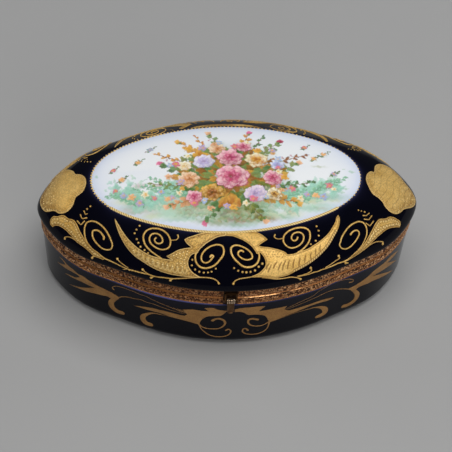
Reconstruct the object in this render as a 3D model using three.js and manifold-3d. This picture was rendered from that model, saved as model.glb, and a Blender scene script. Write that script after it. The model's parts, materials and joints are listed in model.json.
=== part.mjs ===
// Porcelain jewellery casket with gilt-metal rims: a serpentine oval bowl and a domed lid,
// joined by a hinge at the back and held shut by a small hasp at the front.
// Millimetres, +Z up, +X along the length, -Y to the front. Origin: centre of the underside.
import * as THREE from "three";
import { mergeVertices } from "three/addons/utils/BufferGeometryUtils.js";
import Module from "manifold-3d";

const wasm = await Module();
wasm.setup();

// ---------------------------------------------------------------- driving dimensions
// Plan of the casket at the rims: x = sum A_k cos(kt), y = sum B_k sin(kt), k = 1, 3, 5, 7
const PLAN_A = [141.68, -8.37, 6.04, -1.99];
const PLAN_B = [70.2, -3.91, 1.43, -2.86];
const SEGMENTS = 60; // round the plan

const GAP = 0.3; // clearance between pieces that touch on the real object

// heights
const BAND_BOTTOM = 51.1; // lower edge of the base band
const BAND_HEIGHT = 7.5; // each of the two bands
const PARTING_GAP = 0.3;
const BASE_BAND_TOP = BAND_BOTTOM + BAND_HEIGHT; // 58.6
const LID_BAND_BOTTOM = BASE_BAND_TOP + PARTING_GAP; // 58.9
const LID_BAND_TOP = LID_BAND_BOTTOM + BAND_HEIGHT; // 66.4
const PARTING_Z = (BASE_BAND_TOP + LID_BAND_BOTTOM) / 2; // 58.75

// bands
const BAND_PROUD = 0.8; // outer face beyond the plan
const BAND_SKIN = 1.2; // thickness of the upright wall
const LEDGE_SKIN = 1.2; // thickness of the turned-in ledge
const BASE_LEDGE_IN = -5.6; // inner edge of the base ledge, measured from the plan
const LID_LEDGE_IN = -4.6; // inner edge of the lid ledge

// porcelain
const WALL_OUT = -1.0; // rebated edge inside the bands
const WALL_IN = -5.0; // inner face at the rim
const CEMENT = 1.8; // thickness of the plaster bed on each porcelain edge
const FOOT_ROUND = 8.44; // rounding of the base at the foot
const BASE_TAPER = 0.92; // inward lean of the base wall at the top of that rounding
const FOOT_RING_WIDTH = 6;
const FOOT_RECESS = 2.5; // recess of the underside inside the foot ring
const FLOOR_Z = 7.0; // top of the floor inside

// lid
const BULGE = 2.63; // how far the lid swells beyond the plan
const BULGE_HEIGHT = 2.98;
const SHOULDER_WIDTH = 18.17;
const SHOULDER_RISE = 10.27;
const SHOULDER_POWER = 1.76;
const DOME_RISE = 23.89;
const DOME_POWER = 1.94;
const RESERVE_A = 97.42; // half axes of the oval reserve on top
const RESERVE_B = 50.33;
const LID_WALL = 4.6;

// guide lip
const LIP_OUT = -5.9;
const LIP_IN = -7.0;
const LIP_BOTTOM = 54.0;
const LIP_TOP = 61.9;

// hinge at the back
const HINGE_Y = 82.8;
const KNUCKLE_R = 2.2;
const HINGE_HALF = 12;
const HINGE_PIN_R = 1.0;
const HINGE_BORE_R = 1.3;
const LEAF_Y0 = 79.5; // inner face of the leaves
const LEAF_Y1 = 80.3; // outer face of the leaves
const LEAF_REACH = 6.4; // height of each leaf on its band
const RIVET_X = 7.2;
const RIVET_SHANK_R = 0.7;
const RIVET_HEAD_R = 1.4;
const RIVET_HOLE_R = 1.05;

// hasp at the front
const HASP_X = -3.0;
const HASP_Y = -82.5;
const HASP_Z = 60.5;
const BARREL_R = 2.5;
const BARREL_HALF = 3.0;
const HASP_PIN_R = 0.8;
const HASP_BORE_R = 1.1;
const EAR_IN = 3.4;
const EAR_OUT = 4.6;
const TONGUE_HALF = 2.5;
const TONGUE_END_Z = 46.8;
const TONGUE_Y0 = -84.0;
const TONGUE_Y1 = -82.9;
const CATCH_Z = 54.2;
const CATCH_NOSE_Y = -82.5;

// ---------------------------------------------------------------- the plan
const K = [1, 3, 5, 7];

// point of the plan at angle t, moved outward by off along the plan's normal
function plan(t, off = 0) {
  let x = 0, y = 0, dx = 0, dy = 0;
  for (let i = 0; i < 4; i++) {
    x += PLAN_A[i] * Math.cos(K[i] * t);
    y += PLAN_B[i] * Math.sin(K[i] * t);
    dx -= K[i] * PLAN_A[i] * Math.sin(K[i] * t);
    dy += K[i] * PLAN_B[i] * Math.cos(K[i] * t);
  }
  const l = Math.hypot(dx, dy);
  return [x + (off * dy) / l, y - (off * dx) / l];
}

// outer surface of the lid: u = 0 at the widest line, 0.5 at the reserve's edge, 1 on top
function lidPoint(u, t) {
  const [px, py] = plan(t, BULGE);
  const ex = RESERVE_A * Math.cos(t), ey = RESERVE_B * Math.sin(t);
  let x, y;
  if (u <= 0.5) {
    x = px + (ex - px) * 2 * u;
    y = py + (ey - py) * 2 * u;
  } else {
    x = ex * 2 * (1 - u);
    y = ey * 2 * (1 - u);
  }
  const q = Math.min(1, Math.hypot(x - px, y - py) / SHOULDER_WIDTH);
  const s = Math.pow(1 - Math.pow(1 - q, SHOULDER_POWER), 1 / SHOULDER_POWER);
  const dome = 1 - Math.pow(1 - u, DOME_POWER);
  return [x, y, LID_BAND_TOP + BULGE_HEIGHT + SHOULDER_RISE * s + DOME_RISE * dome];
}

// the same surface moved inward by the wall's thickness
function lidInner(u, t) {
  const e = 1e-3;
  const at = (a, b) => new THREE.Vector3(...lidPoint(a, b));
  const p = at(u, t);
  const du = at(u + e, t).sub(at(u - e, t));
  const dt = at(u, t + e).sub(at(u, t - e));
  const n = dt.cross(du).normalize();
  if (n.z < 0) n.negate();
  return [p.x - LID_WALL * n.x, p.y - LID_WALL * n.y, p.z - LID_WALL * n.z];
}

// ---------------------------------------------------------------- geometry helpers
// closed body: shared vertices merged, no slivers, faces out
function closed(geometry) {
  const g = geometry.clone();
  g.deleteAttribute("normal");
  g.deleteAttribute("uv");
  const m = mergeVertices(g, 1e-4);
  const src = m.index.array, keep = [];
  for (let i = 0; i < src.length; i += 3) {
    const [a, b, c] = [src[i], src[i + 1], src[i + 2]];
    if (a !== b && b !== c && a !== c) keep.push(a, b, c);
  }
  const p = m.attributes.position;
  const v = [new THREE.Vector3(), new THREE.Vector3(), new THREE.Vector3()];
  let volume = 0;
  for (let i = 0; i < keep.length; i += 3) {
    for (let j = 0; j < 3; j++) v[j].fromBufferAttribute(p, keep[i + j]);
    volume += v[0].dot(v[1].clone().cross(v[2]));
  }
  if (volume < 0)
    for (let i = 0; i < keep.length; i += 3)
      [keep[i + 1], keep[i + 2]] = [keep[i + 2], keep[i + 1]];
  m.setIndex(keep);
  return m;
}

function toSolid(geometry) {
  const m = closed(geometry);
  return new wasm.Manifold(
    new wasm.Mesh({
      numProp: 3,
      vertProperties: new Float32Array(m.attributes.position.array),
      triVerts: new Uint32Array(m.index.array),
    }),
  );
}

function toGeometry(solid) {
  const mesh = solid.getMesh();
  const g = new THREE.BufferGeometry();
  g.setAttribute("position", new THREE.BufferAttribute(new Float32Array(mesh.vertProperties), 3));
  g.setIndex(new THREE.BufferAttribute(new Uint32Array(mesh.triVerts), 1));
  return g;
}

const join = (...list) => list.reduce((a, b) => a.add(b));

// a form turned on the lathe, then pressed into the serpentine plan:
// rows are functions of the angle that give a point; the last row repeats the first on a ring
function pressed(rows) {
  const g = new THREE.LatheGeometry(
    rows.map((_, j) => new THREE.Vector2(1, j)),
    SEGMENTS,
  );
  const p = g.attributes.position;
  for (let i = 0; i <= SEGMENTS; i++) {
    const t = (2 * Math.PI * (i % SEGMENTS)) / SEGMENTS;
    rows.forEach((row, j) => p.setXYZ(i * rows.length + j, ...row(t)));
  }
  return closed(g);
}

const at = (off, z) => (t) => [...plan(t, off), z];
const axis = (z) => () => [0, 0, z];
const ring = (...profile) => pressed([...profile, profile[0]]);

// cylinder along X through (x0..x1), centred on y, z
function rod(r, x0, x1, y, z, sides = 24) {
  const g = new THREE.CylinderGeometry(r, r, x1 - x0, sides);
  g.rotateZ(Math.PI / 2);
  g.translate((x0 + x1) / 2, y, z);
  return toSolid(g);
}

// cylinder along Y
function rodY(r, y0, y1, x, z, sides = 16) {
  const g = new THREE.CylinderGeometry(r, r, y1 - y0, sides);
  g.translate(x, (y0 + y1) / 2, z);
  return toSolid(g);
}

function block(x0, x1, y0, y1, z0, z1) {
  const g = new THREE.BoxGeometry(x1 - x0, y1 - y0, z1 - z0);
  g.translate((x0 + x1) / 2, (y0 + y1) / 2, (z0 + z1) / 2);
  return toSolid(g);
}

// solid of revolution about the X axis, from (x, radius) pairs, placed at y, z
function turnedX(points, x, y, z, sides = 24) {
  const g = new THREE.LatheGeometry(
    points.map(([a, r]) => new THREE.Vector2(r, a)),
    sides,
  );
  g.rotateZ(-Math.PI / 2);
  g.translate(x, y, z);
  return g;
}

// outline in the Y-Z plane, extruded from x0 to x1
function plateYZ(points, x0, x1) {
  const shape = new THREE.Shape(points.map(([y, z]) => new THREE.Vector2(y, z)));
  const g = new THREE.ExtrudeGeometry(shape, { depth: x1 - x0, bevelEnabled: false });
  // local x -> world y, local y -> world z, local z -> world x
  g.applyMatrix4(new THREE.Matrix4().makeBasis(
    new THREE.Vector3(0, 1, 0),
    new THREE.Vector3(0, 0, 1),
    new THREE.Vector3(1, 0, 0),
  ));
  g.translate(x0, 0, 0);
  return toSolid(g);
}

// outline in the X-Z plane, extruded from y0 to y1
function plateXZ(points, y0, y1) {
  const shape = new THREE.Shape(points.map(([x, z]) => new THREE.Vector2(x, z)));
  const g = new THREE.ExtrudeGeometry(shape, { depth: y1 - y0, bevelEnabled: false });
  // local x -> world x, local y -> world z, local z -> world -y
  g.applyMatrix4(new THREE.Matrix4().makeBasis(
    new THREE.Vector3(1, 0, 0),
    new THREE.Vector3(0, 0, 1),
    new THREE.Vector3(0, -1, 0),
  ));
  g.translate(0, y1, 0);
  return toSolid(g);
}

// ---------------------------------------------------------------- finishes
const GLAZE = { color: 0x0b0b22, roughness: 0.12, metalness: 0 };
const GILT = { color: 0x9a6238, roughness: 0.38, metalness: 1 };
const GILT_DARK = { color: 0x6b4529, roughness: 0.42, metalness: 1 };
const STEEL = { color: 0x7d7468, roughness: 0.4, metalness: 1 };
const PLASTER = { color: 0xcfc7b6, roughness: 0.95, metalness: 0 };

const casket = new THREE.Group();
const base = new THREE.Group();
const lid = new THREE.Group();
const hasp = new THREE.Group();
casket.add(base, lid, hasp);

function piece(group, name, geometry, finish) {
  geometry.computeVertexNormals();
  const mesh = new THREE.Mesh(geometry, new THREE.MeshStandardMaterial(finish));
  mesh.name = name;
  group.add(mesh);
  return mesh;
}

// ---------------------------------------------------------------- base
const rimTop = BASE_BAND_TOP - LEDGE_SKIN - GAP - CEMENT - GAP;
const footRows = [0, 30, 60, 90].map((d) => {
  const k = (d * Math.PI) / 180;
  return at(-(BASE_TAPER + FOOT_ROUND * (1 - Math.sin(k))), FOOT_ROUND * (1 - Math.cos(k)));
});
const footOut = -(BASE_TAPER + FOOT_ROUND);
piece(base, "base_bowl", pressed([
  axis(FOOT_RECESS),
  at(footOut - FOOT_RING_WIDTH - 1.2, FOOT_RECESS),
  at(footOut - FOOT_RING_WIDTH, 0),
  ...footRows,
  at(0, BAND_BOTTOM - GAP),
  at(WALL_OUT, BAND_BOTTOM - GAP),
  at(WALL_OUT, rimTop),
  at(WALL_IN, rimTop),
  at(WALL_IN - 2.3, 50),
  at(WALL_IN - 2.6, 16),
  at(WALL_IN - 5.5, 10),
  at(WALL_IN - 12, FLOOR_Z),
  axis(FLOOR_Z),
]), GLAZE);

const bandIn = BAND_PROUD - BAND_SKIN;
const rivets = [];
for (const [tag, sx] of [["left", -1], ["right", 1]])
  for (const [part, sz, group] of [["base", -1, base], ["lid", 1, lid]])
    rivets.push({ name: `hinge_rivet_${part}_${tag}`, x: sx * RIVET_X, z: PARTING_Z + sz * 4.9, part, group });

function drilled(geometry, part, r) {
  let s = toSolid(geometry);
  for (const v of rivets)
    if (v.part === part) s = s.subtract(rodY(r, 74, 86, v.x, v.z));
  return s;
}

piece(base, "base_rim_band", toGeometry(drilled(ring(
  at(BAND_PROUD, BAND_BOTTOM),
  at(BAND_PROUD, BASE_BAND_TOP),
  at(BASE_LEDGE_IN, BASE_BAND_TOP),
  at(BASE_LEDGE_IN, BASE_BAND_TOP - LEDGE_SKIN),
  at(bandIn, BASE_BAND_TOP - LEDGE_SKIN),
  at(bandIn, BAND_BOTTOM),
), "base", RIVET_HOLE_R)), GILT);

piece(base, "base_band_cement", ring(
  at(WALL_OUT, rimTop + GAP),
  at(WALL_OUT, rimTop + GAP + CEMENT),
  at(WALL_IN, rimTop + GAP + CEMENT),
  at(WALL_IN, rimTop + GAP),
), PLASTER);

piece(base, "base_inner_lip", ring(
  at(LIP_OUT, LIP_BOTTOM),
  at(LIP_OUT, LIP_TOP),
  at(LIP_IN, LIP_TOP),
  at(LIP_IN, LIP_BOTTOM),
), GILT);

// ---------------------------------------------------------------- lid
const lidEdge = LID_BAND_BOTTOM + LEDGE_SKIN + GAP + CEMENT + GAP;
piece(lid, "lid_dome", pressed([
  axis(LID_BAND_TOP + BULGE_HEIGHT + SHOULDER_RISE + DOME_RISE),
  ...[0.84, 0.67, 0.5, 0.38, 0.28, 0.19, 0.115, 0.06, 0.025].map((u) => (t) => lidPoint(u, t)),
  at(BULGE, LID_BAND_TOP + BULGE_HEIGHT),
  at(BULGE * 0.71, LID_BAND_TOP + BULGE_HEIGHT * 0.5),
  at(0, LID_BAND_TOP + GAP),
  at(WALL_OUT, LID_BAND_TOP + GAP),
  at(WALL_OUT, lidEdge),
  at(WALL_IN, lidEdge),
  at(WALL_IN + 0.3, 69.5),
  ...[0.09, 0.16, 0.25, 0.36, 0.5, 0.67, 0.84].map((u) => (t) => lidInner(u, t)),
  axis(LID_BAND_TOP + BULGE_HEIGHT + SHOULDER_RISE + DOME_RISE - LID_WALL),
]), GLAZE);

piece(lid, "lid_rim_band", toGeometry(drilled(ring(
  at(BAND_PROUD, LID_BAND_TOP),
  at(BAND_PROUD, LID_BAND_BOTTOM),
  at(LID_LEDGE_IN, LID_BAND_BOTTOM),
  at(LID_LEDGE_IN, LID_BAND_BOTTOM + LEDGE_SKIN),
  at(bandIn, LID_BAND_BOTTOM + LEDGE_SKIN),
  at(bandIn, LID_BAND_TOP),
), "lid", RIVET_HOLE_R)), GILT);

piece(lid, "lid_band_cement", ring(
  at(WALL_OUT, lidEdge - GAP),
  at(WALL_OUT, lidEdge - GAP - CEMENT),
  at(WALL_IN, lidEdge - GAP - CEMENT),
  at(WALL_IN, lidEdge - GAP),
), PLASTER);

// ---------------------------------------------------------------- hinge
// the leaves meet at the parting plane; three knuckles belong to the base, two to the lid
const baseKnuckles = [[-HINGE_HALF, -7.45], [-2.45, 2.45], [7.45, HINGE_HALF]];
const lidKnuckles = [[-7.15, -2.75], [2.75, 7.15]];
function leaf(part, knuckles, sign) {
  const zNear = PARTING_Z + sign * 0.45, zFar = PARTING_Z + sign * (0.45 + LEAF_REACH);
  let s = block(-HINGE_HALF, HINGE_HALF, LEAF_Y0, LEAF_Y1, Math.min(zNear, zFar), Math.max(zNear, zFar));
  for (const [a, b] of knuckles) {
    s = s.add(rod(KNUCKLE_R, a, b, HINGE_Y, PARTING_Z, 20));
    s = s.add(block(a, b, LEAF_Y1 - 0.2, HINGE_Y - 0.9, Math.min(zNear, PARTING_Z + sign * 1.9), Math.max(zNear, PARTING_Z + sign * 1.9)));
  }
  s = s.subtract(rod(HINGE_BORE_R, -HINGE_HALF - 1, HINGE_HALF + 1, HINGE_Y, PARTING_Z, 20));
  for (const v of rivets)
    if (v.part === part) s = s.subtract(rodY(RIVET_HOLE_R, 78, 82, v.x, v.z));
  return toGeometry(s);
}
piece(base, "hinge_leaf_base", leaf("base", baseKnuckles, -1), GILT);
piece(lid, "hinge_leaf_lid", leaf("lid", lidKnuckles, 1), GILT);

const pinEnd = HINGE_HALF + GAP;
piece(base, "hinge_pin", closed(turnedX([
  [-pinEnd - 1.1, 0], [-pinEnd - 0.8, 1.1], [-pinEnd, 1.7], [-pinEnd, HINGE_PIN_R],
  [pinEnd, HINGE_PIN_R], [pinEnd, 1.7], [pinEnd + 0.8, 1.1], [pinEnd + 1.1, 0],
], 0, HINGE_Y, PARTING_Z, 20)), STEEL);

for (const v of rivets) {
  const g = new THREE.LatheGeometry([
    [0, 77.75], [RIVET_SHANK_R, 77.75], [RIVET_SHANK_R, LEAF_Y1 + GAP], [RIVET_HEAD_R, LEAF_Y1 + GAP],
    [RIVET_HEAD_R * 0.75, LEAF_Y1 + GAP + 0.6], [0, LEAF_Y1 + GAP + 0.9],
  ].map(([r, y]) => new THREE.Vector2(r, y)), 12);
  g.translate(v.x, 0, v.z);
  piece(v.group, v.name, closed(g), GILT_DARK);
}

// ---------------------------------------------------------------- hasp
// round nose of each ear about the pin
const nose = [];
for (let a = 250; a >= 110; a -= 20) {
  const k = (a * Math.PI) / 180;
  nose.push([HASP_Y + 1.9 * Math.cos(k), HASP_Z + 1.9 * Math.sin(k)]);
}
const ear = [[-79.5, 59.3], ...nose, [-80.9, 65.9], [-79.5, 65.9]];
let bracket = join(
  block(HASP_X - EAR_OUT, HASP_X + EAR_OUT, -80.6, -79.5, 63.5, 65.9),
  plateYZ(ear, HASP_X - EAR_OUT, HASP_X - EAR_IN),
  plateYZ(ear, HASP_X + EAR_IN, HASP_X + EAR_OUT),
);
bracket = bracket.subtract(rod(HASP_BORE_R, HASP_X - 7, HASP_X + 7, HASP_Y, HASP_Z, 20));
piece(lid, "hasp_bracket", toGeometry(bracket), GILT_DARK);

const hp = EAR_OUT + GAP;
piece(lid, "hasp_pin", closed(turnedX([
  [-hp - 0.7, 0], [-hp - 0.5, 0.9], [-hp, 1.35], [-hp, HASP_PIN_R],
  [hp, HASP_PIN_R], [hp, 1.35], [hp + 0.5, 0.9], [hp + 0.7, 0],
], HASP_X, HASP_Y, HASP_Z, 20)), GILT_DARK);

// barrel with three turned beads, and the tongue below it
const barrelProfile = [[-BARREL_HALF, 0]];
for (let i = 0; i <= 12; i++) {
  const a = -BARREL_HALF + (i * 2 * BARREL_HALF) / 12;
  barrelProfile.push([a, BARREL_R - 0.42 * Math.pow(Math.cos((i * Math.PI) / 4), 2)]);
}
barrelProfile.push([BARREL_HALF, 0]);
const tongueOutline = [
  [HASP_X - TONGUE_HALF, HASP_Z - 0.4],
  [HASP_X - TONGUE_HALF, TONGUE_END_Z + 3.2],
  [HASP_X - TONGUE_HALF * 0.86, TONGUE_END_Z + 1.4],
  [HASP_X - TONGUE_HALF * 0.5, TONGUE_END_Z + 0.35],
  [HASP_X, TONGUE_END_Z],
  [HASP_X + TONGUE_HALF * 0.5, TONGUE_END_Z + 0.35],
  [HASP_X + TONGUE_HALF * 0.86, TONGUE_END_Z + 1.4],
  [HASP_X + TONGUE_HALF, TONGUE_END_Z + 3.2],
  [HASP_X + TONGUE_HALF, HASP_Z - 0.4],
];
const tongue = join(
  toSolid(turnedX(barrelProfile, HASP_X, HASP_Y, HASP_Z, 20)),
  plateXZ(tongueOutline, TONGUE_Y0, TONGUE_Y1),
  rod(0.55, HASP_X - 1.5, HASP_X + 1.5, TONGUE_Y0 - 0.1, TONGUE_END_Z + 1.3, 12),
).subtract(rod(HASP_BORE_R, HASP_X - 7, HASP_X + 7, HASP_Y, HASP_Z, 20));
piece(hasp, "hasp_tongue", toGeometry(tongue), GILT_DARK);

// catch on the base band: a small plate with a rounded nose
const noseBall = new THREE.SphereGeometry(1.7, 16, 10);
noseBall.scale(1, 1.3, 0.9);
noseBall.translate(HASP_X, CATCH_NOSE_Y + 1.7 * 1.3, CATCH_Z);
piece(base, "catch_plate", toGeometry(join(
  block(HASP_X - 2.4, HASP_X + 2.4, -80.2, -79.5, 51.5, 58.3),
  toSolid(noseBall),
).subtract(block(HASP_X - 4, HASP_X + 4, -79.5, -76, 48, 60))), GILT_DARK);

export default casket;
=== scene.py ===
# Looks of the porcelain jewellery casket: cobalt glaze, raised and flat gilding, a painted oval reserve,
# engraved gilt-metal rims, hinge and hasp. Sizes in millimetres, turned into metres when a mesh is made.
import math
import json
import numpy as np
import bpy
import bmesh
from mathutils import Matrix, Vector

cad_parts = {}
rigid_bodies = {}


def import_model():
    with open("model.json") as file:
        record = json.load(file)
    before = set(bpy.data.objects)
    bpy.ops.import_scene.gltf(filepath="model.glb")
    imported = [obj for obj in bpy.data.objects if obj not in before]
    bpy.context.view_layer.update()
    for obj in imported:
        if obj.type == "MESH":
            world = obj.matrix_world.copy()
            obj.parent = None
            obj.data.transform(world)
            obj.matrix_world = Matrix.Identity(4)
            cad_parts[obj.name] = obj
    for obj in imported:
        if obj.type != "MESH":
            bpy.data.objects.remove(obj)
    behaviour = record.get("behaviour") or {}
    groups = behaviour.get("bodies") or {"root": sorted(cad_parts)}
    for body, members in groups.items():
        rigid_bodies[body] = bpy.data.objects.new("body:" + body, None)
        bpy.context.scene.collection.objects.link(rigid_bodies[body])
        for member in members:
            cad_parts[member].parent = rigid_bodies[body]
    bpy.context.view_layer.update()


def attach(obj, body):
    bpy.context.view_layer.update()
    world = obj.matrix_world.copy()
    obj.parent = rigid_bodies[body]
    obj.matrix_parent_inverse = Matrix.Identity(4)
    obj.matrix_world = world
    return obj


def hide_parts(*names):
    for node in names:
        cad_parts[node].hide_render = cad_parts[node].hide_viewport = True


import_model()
MM = 0.001
rng = np.random.default_rng(20)

# ================================================================ dimensions, as in the solid model
PLAN_A = (141.68, -8.37, 6.04, -1.99)
PLAN_B = (70.2, -3.91, 1.43, -2.86)
K = (1, 3, 5, 7)
GAP = 0.3
BAND_BOTTOM, BASE_BAND_TOP, LID_BAND_BOTTOM, LID_BAND_TOP = 51.1, 58.6, 58.9, 66.4
PARTING_Z = 58.75
BAND_PROUD, BAND_IN, LEDGE = 0.8, -0.4, 1.2
BASE_LEDGE_IN, LID_LEDGE_IN = -5.6, -4.6
WALL_OUT, WALL_IN, CEMENT = -1.0, -5.0, 1.8
FOOT_ROUND, BASE_TAPER, FOOT_RING, FOOT_RECESS, FLOOR_Z = 8.44, 0.92, 6.0, 2.5, 7.0
BULGE, BULGE_HEIGHT = 2.63, 2.98
SHOULDER_WIDTH, SHOULDER_RISE, SHOULDER_POWER = 18.17, 10.27, 1.76
DOME_RISE, DOME_POWER = 23.89, 1.94
RESERVE_A, RESERVE_B, LID_WALL = 97.42, 50.33, 4.6
LIP_OUT, LIP_IN, LIP_BOTTOM, LIP_TOP = -5.9, -7.0, 54.0, 61.9
HINGE_Y, KNUCKLE_R, HINGE_HALF, LEAF_Y0, LEAF_Y1, LEAF_REACH = 82.8, 2.2, 12.0, 79.5, 80.3, 6.4
RIVET_X = 7.2
HASP_X, HASP_Y, HASP_Z = -3.0, -82.5, 60.5
BARREL_R, BARREL_HALF = 2.5, 3.0
SKIN = -0.08  # the glaze lies this far under the solid model's skin, so that the gilding stays inside its box

# ================================================================ surfaces
def plan(t, off=0.0):
    t = np.asarray(t, float)
    x = sum(a * np.cos(k * t) for a, k in zip(PLAN_A, K))
    y = sum(b * np.sin(k * t) for b, k in zip(PLAN_B, K))
    dx = sum(-k * a * np.sin(k * t) for a, k in zip(PLAN_A, K))
    dy = sum(k * b * np.cos(k * t) for b, k in zip(PLAN_B, K))
    l = np.hypot(dx, dy)
    return x + off * dy / l, y - off * dx / l


def at(off, z, t):
    x, y = plan(t, off)
    return np.stack([x, y, np.broadcast_to(z, x.shape)], -1)


SOFT = 0.05  # half width in u over which the dome runs into the shoulder without an edge


def lid(u, t):
    """Outer surface of the lid: u = 0 at the widest line, 0.5 about the edge of the oval, 1 on top."""
    u, t = np.broadcast_arrays(np.asarray(u, float), np.asarray(t, float))
    px, py = plan(t, BULGE)
    ex, ey = RESERVE_A * np.cos(t), RESERVE_B * np.sin(t)

    def path(p, e):
        low = p + (e - p) * 2 * u
        high = e * 2 * (1 - u)
        w = np.clip((u - 0.5 + SOFT) / (2 * SOFT), 0, 1)
        a, b = p + (e - p) * (1 - 2 * SOFT), e * (1 - 2 * SOFT)
        mid = (1 - w) ** 2 * a + 2 * w * (1 - w) * e + w * w * b
        return np.where(u < 0.5 - SOFT, low, np.where(u > 0.5 + SOFT, high, mid))

    x, y = path(px, ex), path(py, ey)
    q = np.minimum(1, np.hypot(x - px, y - py) / SHOULDER_WIDTH)
    s = np.maximum(0, 1 - (1 - q) ** SHOULDER_POWER) ** (1 / SHOULDER_POWER)
    z = LID_BAND_TOP + BULGE_HEIGHT + SHOULDER_RISE * s + DOME_RISE * (1 - (1 - u) ** DOME_POWER)
    return np.stack([x, y, z], -1)


def base_wall(z, t):
    z, t = np.broadcast_arrays(np.asarray(z, float), np.asarray(t, float))
    k = np.arccos(np.clip(1 - z / FOOT_ROUND, 0, 1))
    top = BAND_BOTTOM - GAP
    off = np.where(z < FOOT_ROUND, -(BASE_TAPER + FOOT_ROUND * (1 - np.sin(k))),
                   -BASE_TAPER * (1 - (z - FOOT_ROUND) / (top - FOOT_ROUND)))
    off = off - 0.55 * np.clip((z - (top - 0.9)) / 0.9, 0, 1) ** 2.2  # the glaze rolls over under the rim
    x, y = plan(t, 0.0)
    dx = sum(-k_ * a * np.sin(k_ * t) for a, k_ in zip(PLAN_A, K))
    dy = sum(k_ * b * np.cos(k_ * t) for b, k_ in zip(PLAN_B, K))
    l = np.hypot(dx, dy)
    return np.stack([x + off * dy / l, y - off * dx / l, z], -1)


def unit(v):
    return v / np.maximum(np.linalg.norm(v, axis=-1, keepdims=True), 1e-12)


def normals(surf, v, t, ev, et=1e-4, low=None, high=None):
    v, t = np.broadcast_arrays(np.asarray(v, float), np.asarray(t, float))
    a = v - ev if low is None else np.maximum(v - ev, low)
    b = v + ev if high is None else np.minimum(v + ev, high)
    return unit(np.cross(surf(v, t + et) - surf(v, t - et), surf(b, t) - surf(a, t)))


def lid_normal(u, t):
    u = np.minimum(np.asarray(u, float), 0.9995)
    return normals(lid, u, t, 2e-4, low=0.0)


def even_angles(n, ring):
    """n angles from -pi, evenly spaced along the closed curve ring(t)."""
    d = np.linspace(-np.pi, np.pi, 24001)
    s = np.concatenate([[0], np.cumsum(np.linalg.norm(np.diff(ring(d), axis=0), axis=1))])
    half = np.interp(np.linspace(0, s[-1] / 2, n // 2 + 1), s, d)  # -pi .. 0, mirrored so both halves match
    return np.concatenate([half[:-1], -half[::-1][:-1]]), s[-1]


def lid_find(x, y):
    """(u, t) of the lid's surface over the plan point (x, y)."""
    x, y = np.asarray(x, float), np.asarray(y, float)
    k = np.hypot(x / RESERVE_A, y / RESERVE_B)
    t = np.arctan2(y / RESERVE_B, x / RESERVE_A)
    u = np.where(k <= 1, 1 - k / 2, 0.5 - (k - 1) * 1.1)
    u = np.clip(u, 0.002, 0.9999)
    for _ in range(14):
        p = lid(u, t)
        fu = (lid(np.minimum(u + 1e-5, 1), t) - lid(u - 1e-5, t)) / (np.minimum(u + 1e-5, 1) - u + 1e-5)[..., None]
        ft = (lid(u, t + 1e-5) - lid(u, t - 1e-5)) / 2e-5
        det = fu[..., 0] * ft[..., 1] - fu[..., 1] * ft[..., 0]
        det = np.where(np.abs(det) < 1e-6, 1e-6, det)
        rx, ry = x - p[..., 0], y - p[..., 1]
        du = (rx * ft[..., 1] - ry * ft[..., 0]) / det
        dt = (fu[..., 0] * ry - fu[..., 1] * rx) / det
        u = np.clip(u + np.clip(du, -0.1, 0.1), 0.001, 0.99999)
        t = t + np.clip(dt, -0.3, 0.3)
    return u, t


def border(a):
    """Plan of the oval that edges the painted reserve."""
    a = np.asarray(a, float)
    return (-2.69 + 98.18 * np.cos(a) - 0.11 * np.cos(3 * a) - 0.74 * np.cos(5 * a),
            0.85 + 50.55 * np.sin(a) - 0.85 * np.sin(3 * a) + 0.08 * np.sin(5 * a))


_a = np.linspace(-np.pi, np.pi, 4001)
_bx, _by = border(_a)
_bphi = np.unwrap(np.arctan2(_by - 0.85, _bx + 2.69))
_brad = np.hypot(_by - 0.85, _bx + 2.69)


def inside_border(x, y):
    """About how far (x, y) lies inside the oval, in millimetres; negative outside."""
    phi, r = np.arctan2(y - 0.85, x + 2.69), np.hypot(y - 0.85, x + 2.69)
    edge = np.interp(phi, _bphi, _brad, period=2 * np.pi)
    return (edge - r) * 0.9


# ================================================================ meshes
def make(name, verts, faces, body, mats, replaces=(), sharp=None, index=None, attrs=None, smooth=True):
    """Mesh object from points in millimetres; faces is a list of arrays, one for each number of corners."""
    me = bpy.data.meshes.new(name)
    lists = []
    for f in faces:
        lists += f.tolist() if isinstance(f, np.ndarray) else list(f)
    v = np.asarray(verts, float)
    me.from_pydata((v * MM).tolist(), [], lists)
    me.update()
    if smooth:
        me.polygons.foreach_set("use_smooth", np.ones(len(me.polygons), bool))
    if index is not None:
        me.polygons.foreach_set("material_index", np.asarray(index, np.int32))
    for key, val in (attrs or {}).items():
        col = me.color_attributes.new(name=key, type="FLOAT_COLOR", domain="POINT")
        val = np.asarray(val, float)
        if val.ndim == 1:
            val = np.stack([val] * 3, -1)
        col.data.foreach_set("color", np.concatenate([val, np.ones((len(val), 1))], 1).astype(np.float32).ravel())
    if sharp is not None:
        me.set_sharp_from_angle(angle=math.radians(sharp))
    ob = bpy.data.objects.new(name, me)
    bpy.context.scene.collection.objects.link(ob)
    for m in mats if isinstance(mats, (list, tuple)) else [mats]:
        me.materials.append(m)
    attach(ob, body)
    if replaces:
        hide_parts(*replaces)
    return ob


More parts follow.
